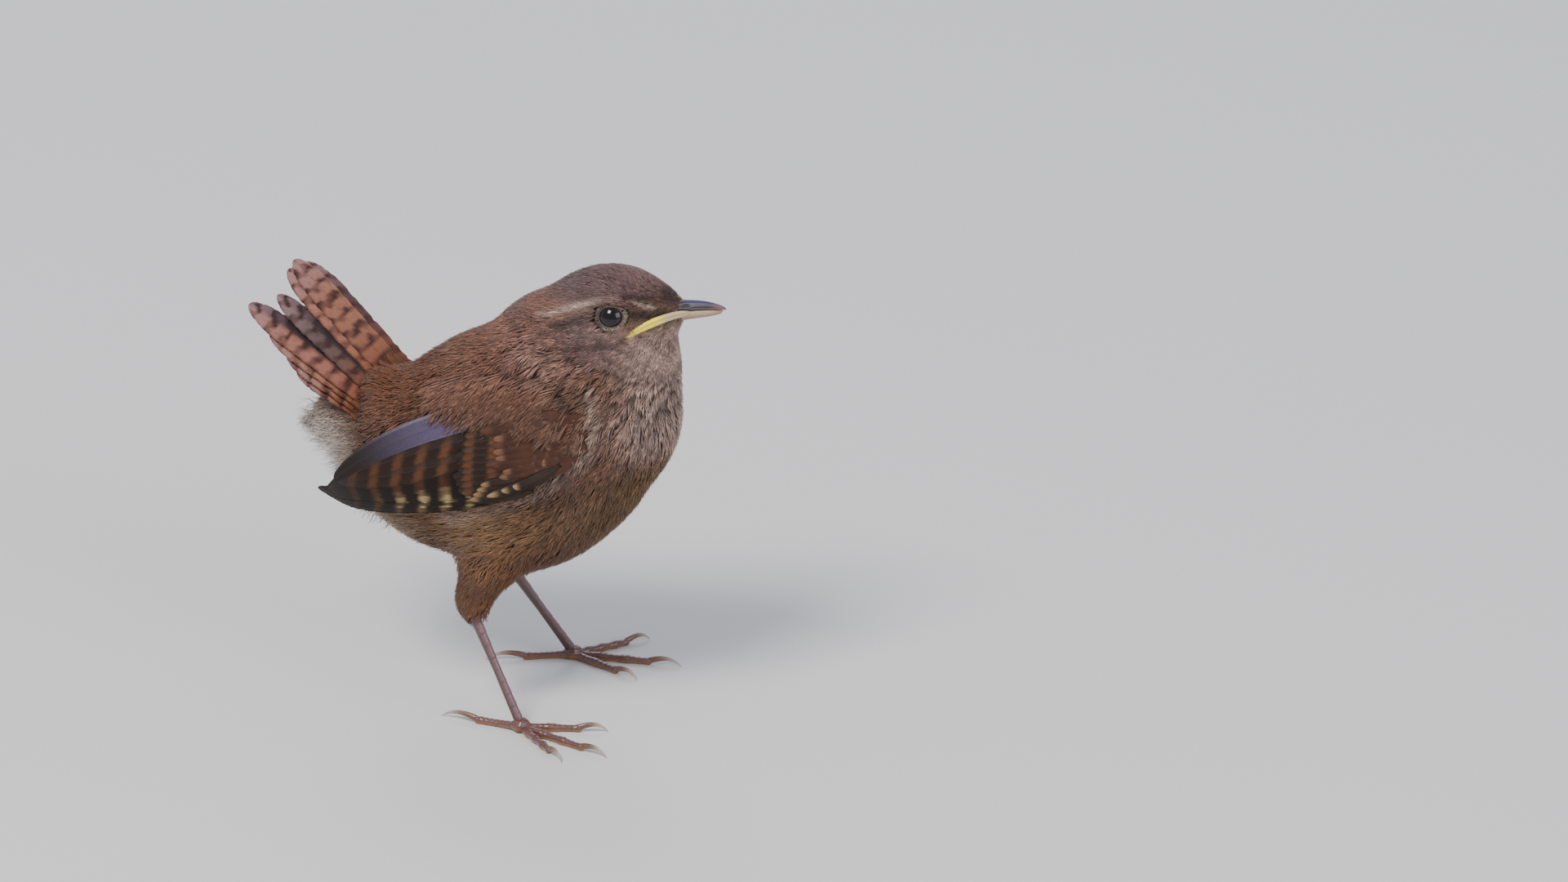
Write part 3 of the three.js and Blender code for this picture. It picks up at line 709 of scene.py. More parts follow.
def vane(path, half_width, height, carry, paint, steps=48, columns=9, camber=0.25, thick=0.08, ragged=0.05, blunt=0.22):
    """One vane along a curve from root to tip, drawn flat and carried onto the bird. paint gives its colour from
    the place drawn, the place across from -1 to 1 and the millimetres from the root. blunt is the share of the
    length that the rounded tip takes, and ragged how frayed the edges are."""
    share = 1 - (1 - np.linspace(0, 1, steps)) ** 1.4
    root, bend, tip = (np.array(spot, float) for spot in path)
    spine = curve_toward(root, bend, tip, share[:, None])
    ahead = unit(np.gradient(spine, axis=0))
    beside = np.stack([-ahead[:, 1], ahead[:, 0]], -1)
    walked = np.concatenate([[0], np.cumsum(np.linalg.norm(np.diff(spine, axis=0), axis=1))])
    rounded = np.sqrt(np.clip(1 - (np.clip(share - 1 + blunt, 0, 1) / blunt) ** 2.2, 0.002, 1))
    wide = half_width * (0.4 + 0.6 * ease(share, 0, 0.3)) * rounded
    u = np.linspace(-1, 1, columns)
    edge = 1 - ragged * rng.random((steps, columns)) ** 3 * 3 * np.abs(u) ** 3
    off = u * wide[:, None] * edge
    flat = spine[:, None] + beside[:, None] * off[..., None]
    arch = height + camber * (1 - u ** 2) * (wide / half_width)[:, None]
    top = carry(flat, arch)
    bottom = carry(flat, arch - thick * (1 - 0.7 * np.abs(u) ** 2))
    across_vane, down_vane = np.broadcast_arrays(u, walked[:, None])
    colour = paint(flat, across_vane, down_vane)
    under = blend(colour, colour.mean((0, 1)) * 0.8 + 0.02, 0.5)
    barbs = np.stack([off, down_vane, np.zeros_like(off)], -1)
    grid = np.arange(steps * columns).reshape(steps, columns)
    quads = np.stack([grid[:-1, :-1], grid[1:, :-1], grid[1:, 1:], grid[:-1, 1:]], -1).reshape(-1, 4)
    rim = np.concatenate([grid[0, :], grid[1:, -1], grid[-1, -2::-1], grid[-2:0:-1, 0]])
    beyond = np.roll(rim, -1)
    count = steps * columns
    walls = np.stack([rim, rim + count, beyond + count, beyond], -1)
    faces = np.concatenate([quads, quads[:, ::-1] + count, walls])
    bake = np.stack(np.broadcast_arrays(np.linspace(0.04, 0.46, columns), np.linspace(0.04, 0.96, steps)[:, None]), -1)
    bake = np.concatenate([bake.reshape(-1, 2), bake.reshape(-1, 2) + [0.5, 0]])
    return (
        np.concatenate([top.reshape(-1, 3), bottom.reshape(-1, 3)]), faces,
        np.concatenate([colour.reshape(-1, 3), under.reshape(-1, 3)]),
        np.tile(barbs.reshape(-1, 3), (2, 1)), bake,
    )


def join_vanes(name, vanes, stands_for, mirror=False):
    """Joins vanes into one piece, each with its own cell on the OFBake map."""
    cells = math.ceil(math.sqrt(len(vanes)))
    points, faces, colours, barbs, bakes, start = [], [], [], [], [], 0
    for number, (where, sides, colour, lay_of, bake) in enumerate(vanes):
        points.append(where)
        faces.append(sides + start)
        colours.append(colour)
        barbs.append(lay_of)
        bakes.append((bake + [number % cells, number // cells]) / cells)
        start += len(where)
    points, faces = np.concatenate(points), np.concatenate(faces)
    if mirror:
        points, faces = points * [1, -1, 1], faces[:, ::-1]
    marks = {"Tint": np.concatenate(colours), "Barbs": np.concatenate(barbs)}
    make(name, points, [faces], vane_finish.material, stands_for, marks, np.concatenate(bakes))


def on_wing(flat, height):
    """Carries a drawing in X and Z out to the right wing's surface, at a height over its bed that sinks to
    almost nothing toward the breast."""
    x, z = flat[..., 0], flat[..., 1]
    bed = 15.0 * np.sqrt(np.clip(1 - ((x - 4) / 34.5) ** 2 - ((z - 38.5) / 17.6) ** 2, 0.01, 1))
    chest = 13.0 * np.sqrt(np.clip(1 - ((x - 15.4) / 14) ** 2 - ((z - 46) / 13.4) ** 2, 0, 1)) - 0.3
    reach = np.log(np.exp(bed * 1.5) + np.exp(chest * 1.5)) / 1.5
    return np.stack([x, -(reach + height * (1 - 0.92 * ease(x, 13.0, 17.6))), z], -1)


bar_pitch, bar_start = 3.75, -2.2
bar_dark, bar_rufous = linear(26, 18, 13), linear(80, 47, 25)
bar_buff, spot_pale = linear(97, 62, 39), linear(190, 168, 118)


def bars(x, jitter=0.0, low=0.45, high=0.9):
    return ease(0.5 + 0.5 * np.cos(2 * np.pi * (x - bar_start + jitter) / bar_pitch), low, high)


def slate_paint(flat, u, walked):
    x = flat[..., 0]
    front = ease(x, -18, -3)
    colour = blend(linear(36, 28, 23), linear(88, 78, 104), front * 0.9)
    colour = blend(colour, linear(170, 158, 172), ease(-u, 0.84, 1.0) * (0.1 + 0.6 * front))
    colour = blend(colour, linear(112, 96, 98), ease(u, 0.86, 1.0) * 0.6 * front)
    return colour


def tertial_paint(jitter):
    def paint(flat, u, walked):
        x = flat[..., 0]
        dark = blend(bar_dark, linear(44, 28, 19), 0.5 + 0.5 * u)
        patch = blend(bar_buff, bar_rufous, ease(-x, 4, 14) * 0.5 + 0.3)
        tip = ease(-x, 15, 21)
        webs = (0.25 + 0.75 * ease(u, -0.5, 0.3)) * (1 - 0.7 * ease(u, 0.8, 1.0))
        barred = blend(dark, patch, bars(x, jitter + 0.5 * u) * webs * (1 - 0.75 * tip))
        return blend(barred, linear(52, 46, 46), tip * 0.7)
    return paint


def flight_paint(jitter, pale, low_edge):
    def paint(flat, u, walked):
        x = flat[..., 0]
        tip = ease(-x, 15, 22)
        outer_web = ease(u, 0.0, 0.35) * (1 - 0.65 * ease(u, 0.82, 1.0))
        patch = blend(bar_rufous * 0.75, spot_pale, pale * ease(x, -15, -6))
        narrow = bars(x, jitter, 0.42 + low_edge, 0.9 + low_edge * 0.5)
        colour = blend(bar_dark * 0.8, patch, narrow * outer_web * (1 - 0.8 * tip))
        return blend(colour, linear(40, 33, 32), tip * 0.6)
    return paint


def covert_paint(ground, spot, spot_start=0.80):
    def paint(flat, u, walked):
        toward_tip = walked / walked.max()
        colour = blend(linear(*ground), linear(*ground) * 0.5, 0.7 * ease(toward_tip, 0.35, 0.75))
        spotted = ease(toward_tip, spot_start, spot_start + 0.14) * (1 - ease(np.abs(u), 0.25, 0.8))
        return blend(colour, linear(*spot), spotted)
    return paint


def between(first, last, share):
    return tuple(a + (b - a) * share for a, b in zip(first, last))


def arm_paint(flat, u, walked):
    return linear(78, 52, 38) * (0.8 + 0.3 * np.sin(9 * walked + 14 * u))[..., None]


def straight_vane(root, tip, half_width, height, paint, steps, blunt):
    return vane((root, between(root, tip, 0.5), tip), half_width, height, on_wing, paint, steps=steps, blunt=blunt)


wing_vanes = []
for order in range(6):  # primaries, the lowest first
    share = order / 5
    root, bend = between((8.5, 37.9), (9.5, 38.9), share), between((-8.0, 33.5), (-8.0, 35.9), share)
    tip = between((-21.0, 31.7), (-24.4, 32.6), min(1, share * 1.6))
    paint = flight_paint(0.5 - 0.2 * order, 0.75 if order in (1, 4) else 0.15, 0.2)
    wing_vanes.append(vane((root, bend, tip), 1.35, 0.02 + 0.06 * order, on_wing, paint))
for order in range(6):  # secondaries, from the lowest up
    share = order / 5
    root, bend = between((10.0, 39.8), (10.0, 44.4), share), between((-7.0, 36.6), (-7.5, 39.4), share)
    tip = between((-22.6, 33.4), (-20.8, 35.6), share)
    paint = flight_paint(0.1 * order, 0.7 if order == 0 else (0.2 if order < 3 else 0.0), 0.1)
    wing_vanes.append(vane((root, bend, tip), 1.75, 0.40 + 0.09 * order, on_wing, paint))
wing_vanes.append(vane(((9.5, 46.4), (-8.0, 39.9), (-20.2, 35.8)), 2.0, 0.98, on_wing, tertial_paint(0.3), blunt=0.4))
wing_vanes.append(vane(((9.0, 48.6), (-8.0, 43.6), (-20.2, 36.4)), 2.0, 1.10, on_wing, tertial_paint(0.0), blunt=0.42))
wing_vanes.append(vane(((8.0, 50.6), (-9.4, 47.4), (-20.6, 36.2)), 1.85, 1.24, on_wing, slate_paint, ragged=0.02, blunt=0.5))
arm_path = ((17.0, 45.4), (8.0, 45.4), (0.2, 44.2))  # the arm in its skin, under the vanes
wing_vanes.insert(0, vane(arm_path, 4.6, 0.75, on_wing, arm_paint, steps=40, columns=15, thick=2.7, blunt=0.5))
for order in range(9):  # greater coverts, barred like the tertials
    share = order / 8
    tip = between((-0.8 + rng.normal(0, 0.5), 38.3), (0.4 + rng.normal(0, 0.5), 46.6), share)
    root = between((10.5, 40.0), (9.5, 48.4), share)
    wing_vanes.append(straight_vane(root, tip, 1.25, 1.28 + 0.04 * order, tertial_paint(0.1), 22, 0.35))
for order in range(4):  # coverts of the primaries
    share = order / 3
    root, tip = between((11.5, 39.4), (12.0, 41.6), share), between((1.6, 37.0), (3.4, 39.6), share)
    paint = covert_paint((50, 34, 25), (150, 118, 82))
    wing_vanes.append(straight_vane(root, tip, 1.0, 1.42 + 0.05 * order, paint, 20, 0.35))
for order in range(8):  # middle coverts
    share = order / 7
    tip = between((6.6 + rng.normal(0, 0.9), 41.0), (3.4 + rng.normal(0, 0.9), 47.4), share)
    root = between((13.0, 42.4), (12.4, 49.6), share)
    paint = covert_paint((72, 43, 29), (120, 82, 62) if rng.random() < 0.6 else (84, 53, 38), 0.74)
    wing_vanes.append(straight_vane(root, tip, 1.2, 1.60 + 0.03 * order, paint, 18, 0.4))
lesser_rows = ((8.2, 41.8, 48.8, 8), (10.4, 41.8, 49.2, 8), (12.4, 42.4, 49.2, 7), (14.0, 43.6, 48.6, 6))
for row, (tip_x, low, high, count) in enumerate(lesser_rows):  # lesser coverts
    for order in range(count):
        z = low + (high - low) * order / (count - 1) + 0.4 * (row % 2)
        end = tip_x + rng.normal(0, 0.5)
        path = ((end + 4.2, z + 0.9), (end + 2.2, z + 0.6), (end, z))
        paint = covert_paint((75, 46, 34), (126, 90, 70) if rng.random() < 0.45 else (84, 55, 43), 0.62)
        height = 1.60 + 0.04 * row + 0.01 * order
        wing_vanes.append(vane(path, 1.15, height, on_wing, paint, steps=14, blunt=0.45))
for order in range(3):  # the thumb's feathers
    tip = between((4.4, 38.0), (8.2, 39.8), order / 2)
    path, paint = ((15.2, 43.4), (11.0, 40.4), tip), covert_paint((48, 34, 27), (170, 138, 100))
    wing_vanes.append(vane(path, 0.95, 1.78 + 0.08 * order, on_wing, paint, steps=24, blunt=0.3))
for label, mirror in (("right", False), ("left", True)):
    wing_nodes = [f"wing_{label}_{part}" for part in ("coverts", "secondaries", "primaries")]
    join_vanes(f"{label}_wing_vanes", wing_vanes, wing_nodes, mirror)

# The tail
# Twelve stiff barred vanes in a narrow fan, the middle pair on top, held up and turned a little
# toward the right side. Their quills go into the rump under its soft coverts.
tail_root, tail_pitch, tail_twist = np.array([-9.8, 0, 41.2]), math.radians(42), math.radians(20)


def on_tail(flat, height):
    """Carries a drawing, along the tail and across it to the bird's right, to its place on the bird."""
    along, over, above = flat[..., 0], flat[..., 1], height
    x, y, z = -along, -over, np.broadcast_to(above, along.shape)
    c, s = math.cos(tail_twist), math.sin(tail_twist)
    y, z = y * c - z * s, y * s + z * c
    c, s = math.cos(tail_pitch), math.sin(tail_pitch)
    x, z = x * c + z * s, z * c - x * s
    return np.stack([x, y, z], -1) + tail_root


tail_bar_pitch = 2.9


def tail_paint(outer, jitter, ground, dull):
    """Wavy bars with specks. outer is the side of the outer web, and dull how dark the inner web is."""
    def paint(flat, u, walked):
        wave = walked + jitter + 0.35 * np.sin(5 * u + jitter) + 0.25 * np.sin(3.1 * walked)
        bar = ease(0.5 + 0.5 * np.cos(2 * np.pi * wave / tail_bar_pitch), 0.45, 0.85)
        specks = ease(np.sin(7.3 * walked + 5 * np.sin(4 * u)) * np.sin(9 * u + 2 * walked), 0.3, 0.9)
        bar = bar * (0.74 + 0.22 * np.sin(2.3 * walked + 4 * u + jitter)) + 0.22 * specks
        base = blend(linear(136, 78, 50), linear(*ground), ease(walked, 6, 20))
        colour = blend(base, linear(60, 36, 33), np.clip(bar, 0, 1))
        inner = ease(-u * outer, 0.0, 0.25) * dull
        colour = blend(colour, linear(46, 34, 40), inner)
        tip = ease(walked, walked.max() - 9.0, walked.max())
        return blend(colour, linear(166, 128, 130), tip * 0.6 * (1 - bar))
    return paint


tail_vanes = []
for layer, root, heading, length, half_width, outer, ground, dull in (  # from the lowest up
    (5, -3.4, -6.5, 20.5, 2.2, -1, (150, 104, 84), 0.7),
    (5, 1.8, 15.5, 20.5, 2.1, 1, (168, 120, 98), 0.7),
    (4, -3.6, -6.0, 23.5, 2.4, -1, (150, 104, 84), 0.7),
    (4, 1.6, 13.5, 23.0, 2.3, 1, (170, 120, 98), 0.8),
    (3, -3.8, -5.5, 26.0, 2.6, -1, (146, 100, 84), 0.7),
    (3, 1.3, 11.5, 27.0, 2.4, 1, (172, 120, 98), 0.8),
    (2, -4.0, -5.0, 28.4, 2.7, -1, (140, 96, 84), 0.7),
    (2, 1.0, 9.0, 32.0, 2.7, 1, (160, 106, 90), 0.97),
    # This left vane's dark grey-violet ground is painted shade, as it lies in shade at the fan's upper edge.
    (1, -4.2, -6.0, 29.8, 3.2, -1, (92, 64, 66), 0.6),
    (1, 0.6, 1.0, 29.4, 2.3, 1, (98, 80, 76), 0.9),
    (0.5, -2.0, -3.6, 30.8, 2.8, 1, (160, 106, 84), 0.15),
    (0, -2.9, -5.4, 31.2, 2.8, -1, (160, 106, 84), 0.10),
):
    turn = math.radians(heading)
    tip = (length * math.cos(turn), root + length * math.sin(turn))
    path = ((0, root), (tip[0] * 0.5, root + (tip[1] - root) * 0.42), tip)
    paint = tail_paint(outer, 0.3 * layer + (0.8 if outer > 0 else 0), ground, dull)
    tail_vanes.append(vane(
        path, half_width, -0.55 * layer, on_tail, paint, steps=60, columns=11, ragged=0.03, blunt=0.24
    ))
for root, heading, length, height in (  # the soft coverts over the quills, from the bird's left to its right
    (-6.0, -6, 9.6, -0.25),
    (-5.0, -5, 10.8, 0.1),
    (-3.8, -4, 11.6, 0.4),
    (-2.2, -2, 11.8, 0.4),
    (-0.8, 1, 11.6, 0.30),
    (0.6, 5, 11.4, 0.0),
    (2.0, 10, 11.5, -0.45),
    (3.2, 14, 11.0, -1.0),
    (4.2, 18, 10.0, -1.7),
):
    turn = math.radians(heading)
    tip = (length * math.cos(turn), root + length * math.sin(turn))
    path = ((-3.5, root), (tip[0] * 0.4, root + (tip[1] - root) * 0.4), tip)
    paint = covert_paint((116, 70, 47), (120, 76, 54))
    tail_vanes.append(vane(path, 1.5, height + 0.15, on_tail, paint, steps=44, columns=11, ragged=0.08, blunt=0.6))
tail_nodes = ["tail_central"] + [f"tail_left_{n}" for n in (2, 3, 4)] + [f"tail_right_{n}" for n in (2, 3, 4, 5)]
join_vanes("tail_vanes", tail_vanes, tail_nodes)

# The bill
# Two slim horny halves that meet along their cutting edges: the upper dark slate with a keeled ridge
# and a nostril slit on each side, the lower pale horn. They are rooted in the face.
horn = Finish("bill horn")
place = horn.node("ShaderNodeTexCoord", gives=3)
stretched = horn.node("ShaderNodeMapping", None, {"Vector": place, "Scale": (0.25, 1.0, 1.0)})
streaks, clouds = horn.noise(1800.0, 4.0, stretched), horn.noise(500.0, 3.0)
horn.shine(
    Base_Color=horn.tinted(0.76 + 0.24 * streaks + 0.24 * clouds),
    Roughness=0.36 + 0.2 * streaks,
    Specular_IOR_Level=0.4,
    Coat_Weight=0.12 * clouds,
    Coat_Roughness=0.3,
    Subsurface_Weight=0.08,
    Subsurface_Radius=(0.001, 0.0006, 0.0005),
    Subsurface_Scale=0.4,
    Normal=horn.bump(0.2, 0.00006, streaks),
)


def curve_through(first, middle, last, share):
    """Points on the curve that passes through three spots at 0, a half and 1."""
    share = np.asarray(share)[:, None]
    first, middle, last = np.array(first), np.array(middle), np.array(last)
    return first * (1 - share) * (1 - 2 * share) + middle * 4 * share * (1 - share) + last * share * (2 * share - 1)


def rod(line, wide, above, below, around=24, swell=1.0):
    """A closed round piece along a line, from its half width and its heights above and below the line. Gives its
    points, its faces and the turn of each point about the line."""
    ahead = unit(np.gradient(line, axis=0))
    side = unit(np.cross(ahead, [0.0, 0.0, 1.0]))
    rise = np.cross(side, ahead)
    angle = all_round(around)
    tall = np.where(np.sin(angle) >= 0, np.asarray(above)[:, None], np.asarray(below)[:, None])
    sideways = side[:, None] * (np.cos(angle) * np.asarray(wide)[:, None])[..., None]
    reach = sideways + rise[:, None] * (np.sin(angle) * tall)[..., None]
    points = line[:, None] + reach * np.broadcast_to(swell, tall.shape)[..., None]
    steps = len(line)
    grid = np.arange(steps * around).reshape(steps, around)
    beyond = np.roll(grid, -1, 1)
    quads = np.stack([grid[:-1], grid[1:], beyond[1:], beyond[:-1]], -1).reshape(-1, 4)
    ends = np.array([steps * around, steps * around + 1])
    caps = np.concatenate([
        np.stack([np.full(around, ends[0]), grid[0], beyond[0]], -1),
        np.stack([np.full(around, ends[1]), beyond[-1], grid[-1]], -1),
    ])
    points = np.concatenate([points.reshape(-1, 3), [line[0], line[-1]]])
    return points, [quads, caps], np.broadcast_to(angle, (steps, around))


def with_ends(colours):
    """Colours of a rod's rings, followed by those of the two points that close its ends."""
    return np.concatenate([colours.reshape(-1, 3), colours[0, :1], colours[-1, :1]])


def near(value, middle, width):
    """1 at the middle, falling smoothly to nothing a few widths away."""
    return np.exp(-(((value - middle) / width) ** 2))


bill_steps = 64
share = np.linspace(0, 1, bill_steps)
share = share * (2 - share)
for upper in (True, False):
    drop = 0.0 if upper else -0.3
    tip = (36.5, 0, 64.55) if upper else (36.0, 0, 64.35)
    line = curve_through((27.6, 0, 63.6 + drop), (31.8, 0, 64.45 + drop), tip, share)
    taper = np.sqrt(np.clip(1 - share ** (2.6 if upper else 2.0), 0, 1)) * 0.94 + 0.06
    narrow = (1 - share) ** 0.8 * 0.93 + 0.07
    tall, flat_side = (1.15 if upper else 1.55) * taper, np.full(bill_steps, 0.03)
    around = 40
    angle = all_round(around)
    ridge_at = np.pi / 2 if upper else 3 * np.pi / 2
    keel = 1 + 0.05 * near(angle, ridge_at, 0.25) - 0.06 * near(np.abs(np.cos(angle)), 0.72, 0.14)
    keel = np.broadcast_to(keel, (bill_steps, around)).copy()
    if upper:
        slit = near(line[:, 0], 30.6, 0.62)[:, None] * near(np.abs(np.cos(angle)), 0.80, 0.10) * (np.sin(angle) > 0)
        keel -= 0.20 * slit
    above, below = (tall, flat_side) if upper else (flat_side, tall)
    points, faces, angles = rod(line, 1.75 * narrow, above, below, around, keel)
    along, height = line[:, 0][:, None] + 0 * angles, np.sin(angles)
    if upper:
        # The top of the upper half is painted lighter and bluer than its sides: a painted reflection of the sky on its
        # ridge, over the bill's own dark slate.
        colour = blend(linear(42, 33, 52), linear(66, 56, 98), 0.8 * ease(height, 0.5, 1.0))
        colour = blend(colour, linear(132, 92, 96), 0.7 * ease(along, 33.6, 36.0))
        colour = blend(colour, linear(150, 132, 112), 0.6 * (1 - ease(height, 0.02, 0.25)))
        colour = blend(colour, linear(26, 20, 26), slit * 0.95)
        colour = blend(linear(40, 31, 35), colour, ease(along, 29.2, 32.0))
    else:
        colour = blend(linear(186, 164, 132), linear(150, 112, 100), 0.65 * ease(-height, 0.35, 0.95))
        colour = blend(colour, linear(206, 186, 108), 0.6 * (1 - ease(along, 28.2, 31.0)))
        colour = blend(colour, linear(150, 100, 92), 0.5 * ease(along, 34.2, 35.6))
    half = "upper" if upper else "lower"
    make(f"{half}_bill", points, faces, horn.material, [f"bill_{half}"], {"Tint": with_ends(colour)})

# The soft edge of the mouth
# The swollen yellow flange of a young bird runs from the corner of the mouth to the bill, a soft
# double lip with a groove along it. It grows on the face, half sunk among the feathers.
soft_lip = Finish("soft yellow lip")
pores = soft_lip.noise(2200.0, 3.0)
soft_lip.shine(
    Base_Color=soft_lip.tinted(0.84 + 0.32 * pores),
    Roughness=0.36 + 0.14 * pores,
    Subsurface_Weight=0.15,
    Subsurface_Radius=(0.001, 0.0007, 0.0002),
    Subsurface_Scale=0.5,
    Normal=soft_lip.bump(0.2, 0.00006, pores),
)
for label, side in (("right", -1), ("left", 1)):
    share = np.linspace(0, 1, 48)
    line = curve_through((31.4, side * 0.95, 63.95), (27.2, side * 4.35, 63.45), (22.9, side * 7.1, 61.35), share)
    rounded = np.clip(1 - np.clip((share - 0.86) / 0.14, 0, 1) ** 2, 0.02, 1) * np.clip(0.12 + share / 0.16, 0, 1)
    full = (0.50 + 0.12 * share) * (0.45 + 0.55 * np.sin(np.pi * (0.15 + 0.72 * share))) * np.sqrt(rounded)
    around = 32
    angle = all_round(around)
    off_front = np.abs(angle - 0.15)
    groove = (
        1 - 0.30 * near(np.minimum(off_front, 2 * np.pi - off_front), 0, 0.28) - 0.30 * near(angle, np.pi - 0.15, 0.28)
    )
    points, faces, angles = rod(
        line, full * 0.85, full * 1.15, full * 1.15, around, np.broadcast_to(groove, (48, around))
    )
    along = share[:, None] + 0 * angles
    colour = blend(linear(196, 176, 136), linear(255, 236, 44), ease(along, 0.32, 0.58))
    # The lip is painted a deeper ochre along its two grooves: painted shade in the creases.
    colour = blend(colour, linear(176, 132, 40), 0.6 * (1 - (groove - 0.7) / 0.3) * np.ones_like(along))
    make(f"{label}_lip", points, faces, soft_lip.material, [f"gape_{label}"], {"Tint": with_ends(colour)})

# The eyes
# Round, wet, almost black balls that show a dark brown iris close to. Each sits deep in the head
# behind a ring of bare lid skin, with short pale feathers standing round the lid.
eye_wet = Finish("wet eye")
eye_mark = eye_wet.node("ShaderNodeAttribute", {"attribute_name": "Gaze"}, None, 1)
off_gaze = eye_wet.node("ShaderNodeSeparateXYZ", None, {0: eye_mark}, 0)
spoke = eye_wet.node("ShaderNodeSeparateXYZ", None, {0: eye_mark}, 1)
rays = eye_wet.node("ShaderNodeTexNoise", {"noise_dimensions": "1D"}, {"W": spoke * 9.0, "Scale": 3.0, "Detail": 3.0})
iris_band = eye_wet.node("ShaderNodeValToRGB", {"stops": [  # from the middle of the pupil outward
    (0.0, (0.002, 0.002, 0.003, 1)),
    (0.36, (0.002, 0.002, 0.003, 1)),
    (0.42, (0.020, 0.010, 0.007, 1)),
    (0.62, (0.028, 0.013, 0.008, 1)),
    (0.72, (0.003, 0.002, 0.002, 1)),
]}, {"Fac": off_gaze})
eye_wet.shine(
    Base_Color=eye_wet.mix(rays * 0.5, iris_band, (0.004, 0.003, 0.003, 1)),
    Roughness=0.05 + 0.03 * rays,
    Specular_IOR_Level=0.35,
    Coat_Weight=0.15 + 0.2 * rays,
    Coat_Roughness=0.02,
)
lid_skin = Finish("lid skin")
folds = lid_skin.noise(3000.0, 4.0)
lid_skin.shine(
    Base_Color=lid_skin.mix(folds, (0.030, 0.023, 0.022, 1), (0.085, 0.066, 0.062, 1)),
    Roughness=0.45 + 0.2 * folds,
    Normal=lid_skin.bump(0.4, 0.00005, folds),
)


def on_eye(off, spin, radius):
    """A spot on the left eye, by its angle off the gaze, its turn about the gaze and its distance out."""
    out_from_gaze = np.cos(spin)[..., None] * eye_front + np.sin(spin)[..., None] * eye_top
    way = np.cos(off)[..., None] * gaze + np.sin(off)[..., None] * out_from_gaze
    return eye_middle + np.asarray(radius)[..., None] * way


rings, spokes = 40, 64
off, spin = np.broadcast_arrays(np.linspace(0.02, np.pi - 0.02, rings)[:, None], all_round(spokes))
ball_points = on_eye(off, spin, 2.55 + 0.08 * np.clip(1 - (off / 0.75) ** 2, 0, 1)).reshape(-1, 3)
grid = np.arange(rings * spokes).reshape(rings, spokes)
beyond = np.roll(grid, -1, 1)
ball_quads = np.stack([grid[:-1], beyond[:-1], beyond[1:], grid[1:]], -1).reshape(-1, 4)
ball_faces = [ball_quads, grid[:1, ::-1], grid[-1:]]
gaze_marks = np.stack([off / 1.2, spin, 0 * off], -1).reshape(-1, 3)
lid_spokes = 96
spin = all_round(lid_spokes)
section = (  # of the lid: degrees past the opening, distance from the middle of the eye
    (-1.5, 2.56), (0, 2.66), (1.5, 2.72), (3.0, 2.71), (5, 2.62), (12, 2.42), (12, 2.25), (2, 2.40),
)
lid_points = np.concatenate([
    on_eye(lid_edge(spin) + math.radians(turn), spin, np.full(lid_spokes, reach)) for turn, reach in section
])
grid = np.arange(len(section) * lid_spokes).reshape(-1, lid_spokes)
beyond, later = np.roll(grid, -1, 1), np.roll(grid, -1, 0)
lid_faces = [np.stack([grid, beyond, np.roll(later, -1, 1), later], -1).reshape(-1, 4)]
ring_rows, ring_count = 3, 130
row = np.repeat(np.arange(ring_rows), ring_count)
spin = np.tile(all_round(ring_count), ring_rows) + 0.02 * row + rng.normal(0, 0.03, ring_rows * ring_count)
long = rng.uniform(0.55, 1.35, len(spin)) * np.where(np.sin(spin) < 0.2, 1.0, 0.85)
lean = rng.normal(0, 0.08, len(spin))
root_off = lid_edge(spin) + math.radians(1.5) + row * math.radians(3.5)
spots = [
    on_eye(
        root_off + share * long * math.radians(15),
        spin + lean * share,
        2.73 + 0.36 * share * (1 - 0.3 * share) + 0.03 * row,
    ) for share in (0.0, 0.5, 1.0)
]
ups = [unit(spot - eye_middle) for spot in spots[:2]]
acrosses = [unit(np.cross(up, later - spot)) for up, spot, later in zip(ups, spots[:2], spots[1:])]
half_widths = [np.full(len(spin), size) for size in (0.055, 0.05)]
ring_points, ring_faces = barb_mesh(spots[:2], spots[2], half_widths, ups, acrosses)
behind, above = ease(-np.cos(spin), 0.1, 0.8)[:, None], ease(np.sin(spin), 0.2, 0.8)[:, None]
seen = linear(184, 166, 144) * (1 - above) + linear(134, 104, 88) * above
seen = (seen + (linear(120, 98, 90) - seen) * behind * (1 - above)) * rng.normal(0.95, 0.36, (len(spin), 1)).clip(0.3, 1.5)
# The ring's feathers are painted darker toward their roots: partly their grey bases and partly painted shade among
# them.
ring_tints = np.stack([seen * shade for shade in (0.35, 0.35, 0.35, 0.95, 0.95, 0.95, 0.6)], 1).reshape(-1, 3)
patch = np.array([[(k % 3 - 1) * 0.0006, (k // 3) * 0.0012 - 0.0012] for k in range(7)])
for label, side in (("right", -1), ("left", 1)):
    flip = [1, side, 1]

    def to_side(faces):
        return faces if side > 0 else [some[:, ::-1] for some in faces]

    gaze_mark = {"Gaze": gaze_marks}
    make(
        f"{label}_eyeball", ball_points * flip, to_side(ball_faces), eye_wet.material, [f"eye_{label}"], gaze_mark
    )
    make(f"{label}_lids", lid_points * flip, to_side(lid_faces), lid_skin.material)
    marks, home = {"Tint": ring_tints}, (bake_spot(spots[0] * flip)[:, None] + patch).reshape(-1, 2)
    make(f"{label}_eye_ring", ring_points * flip, to_side(ring_faces), feather.material, (), marks, home)

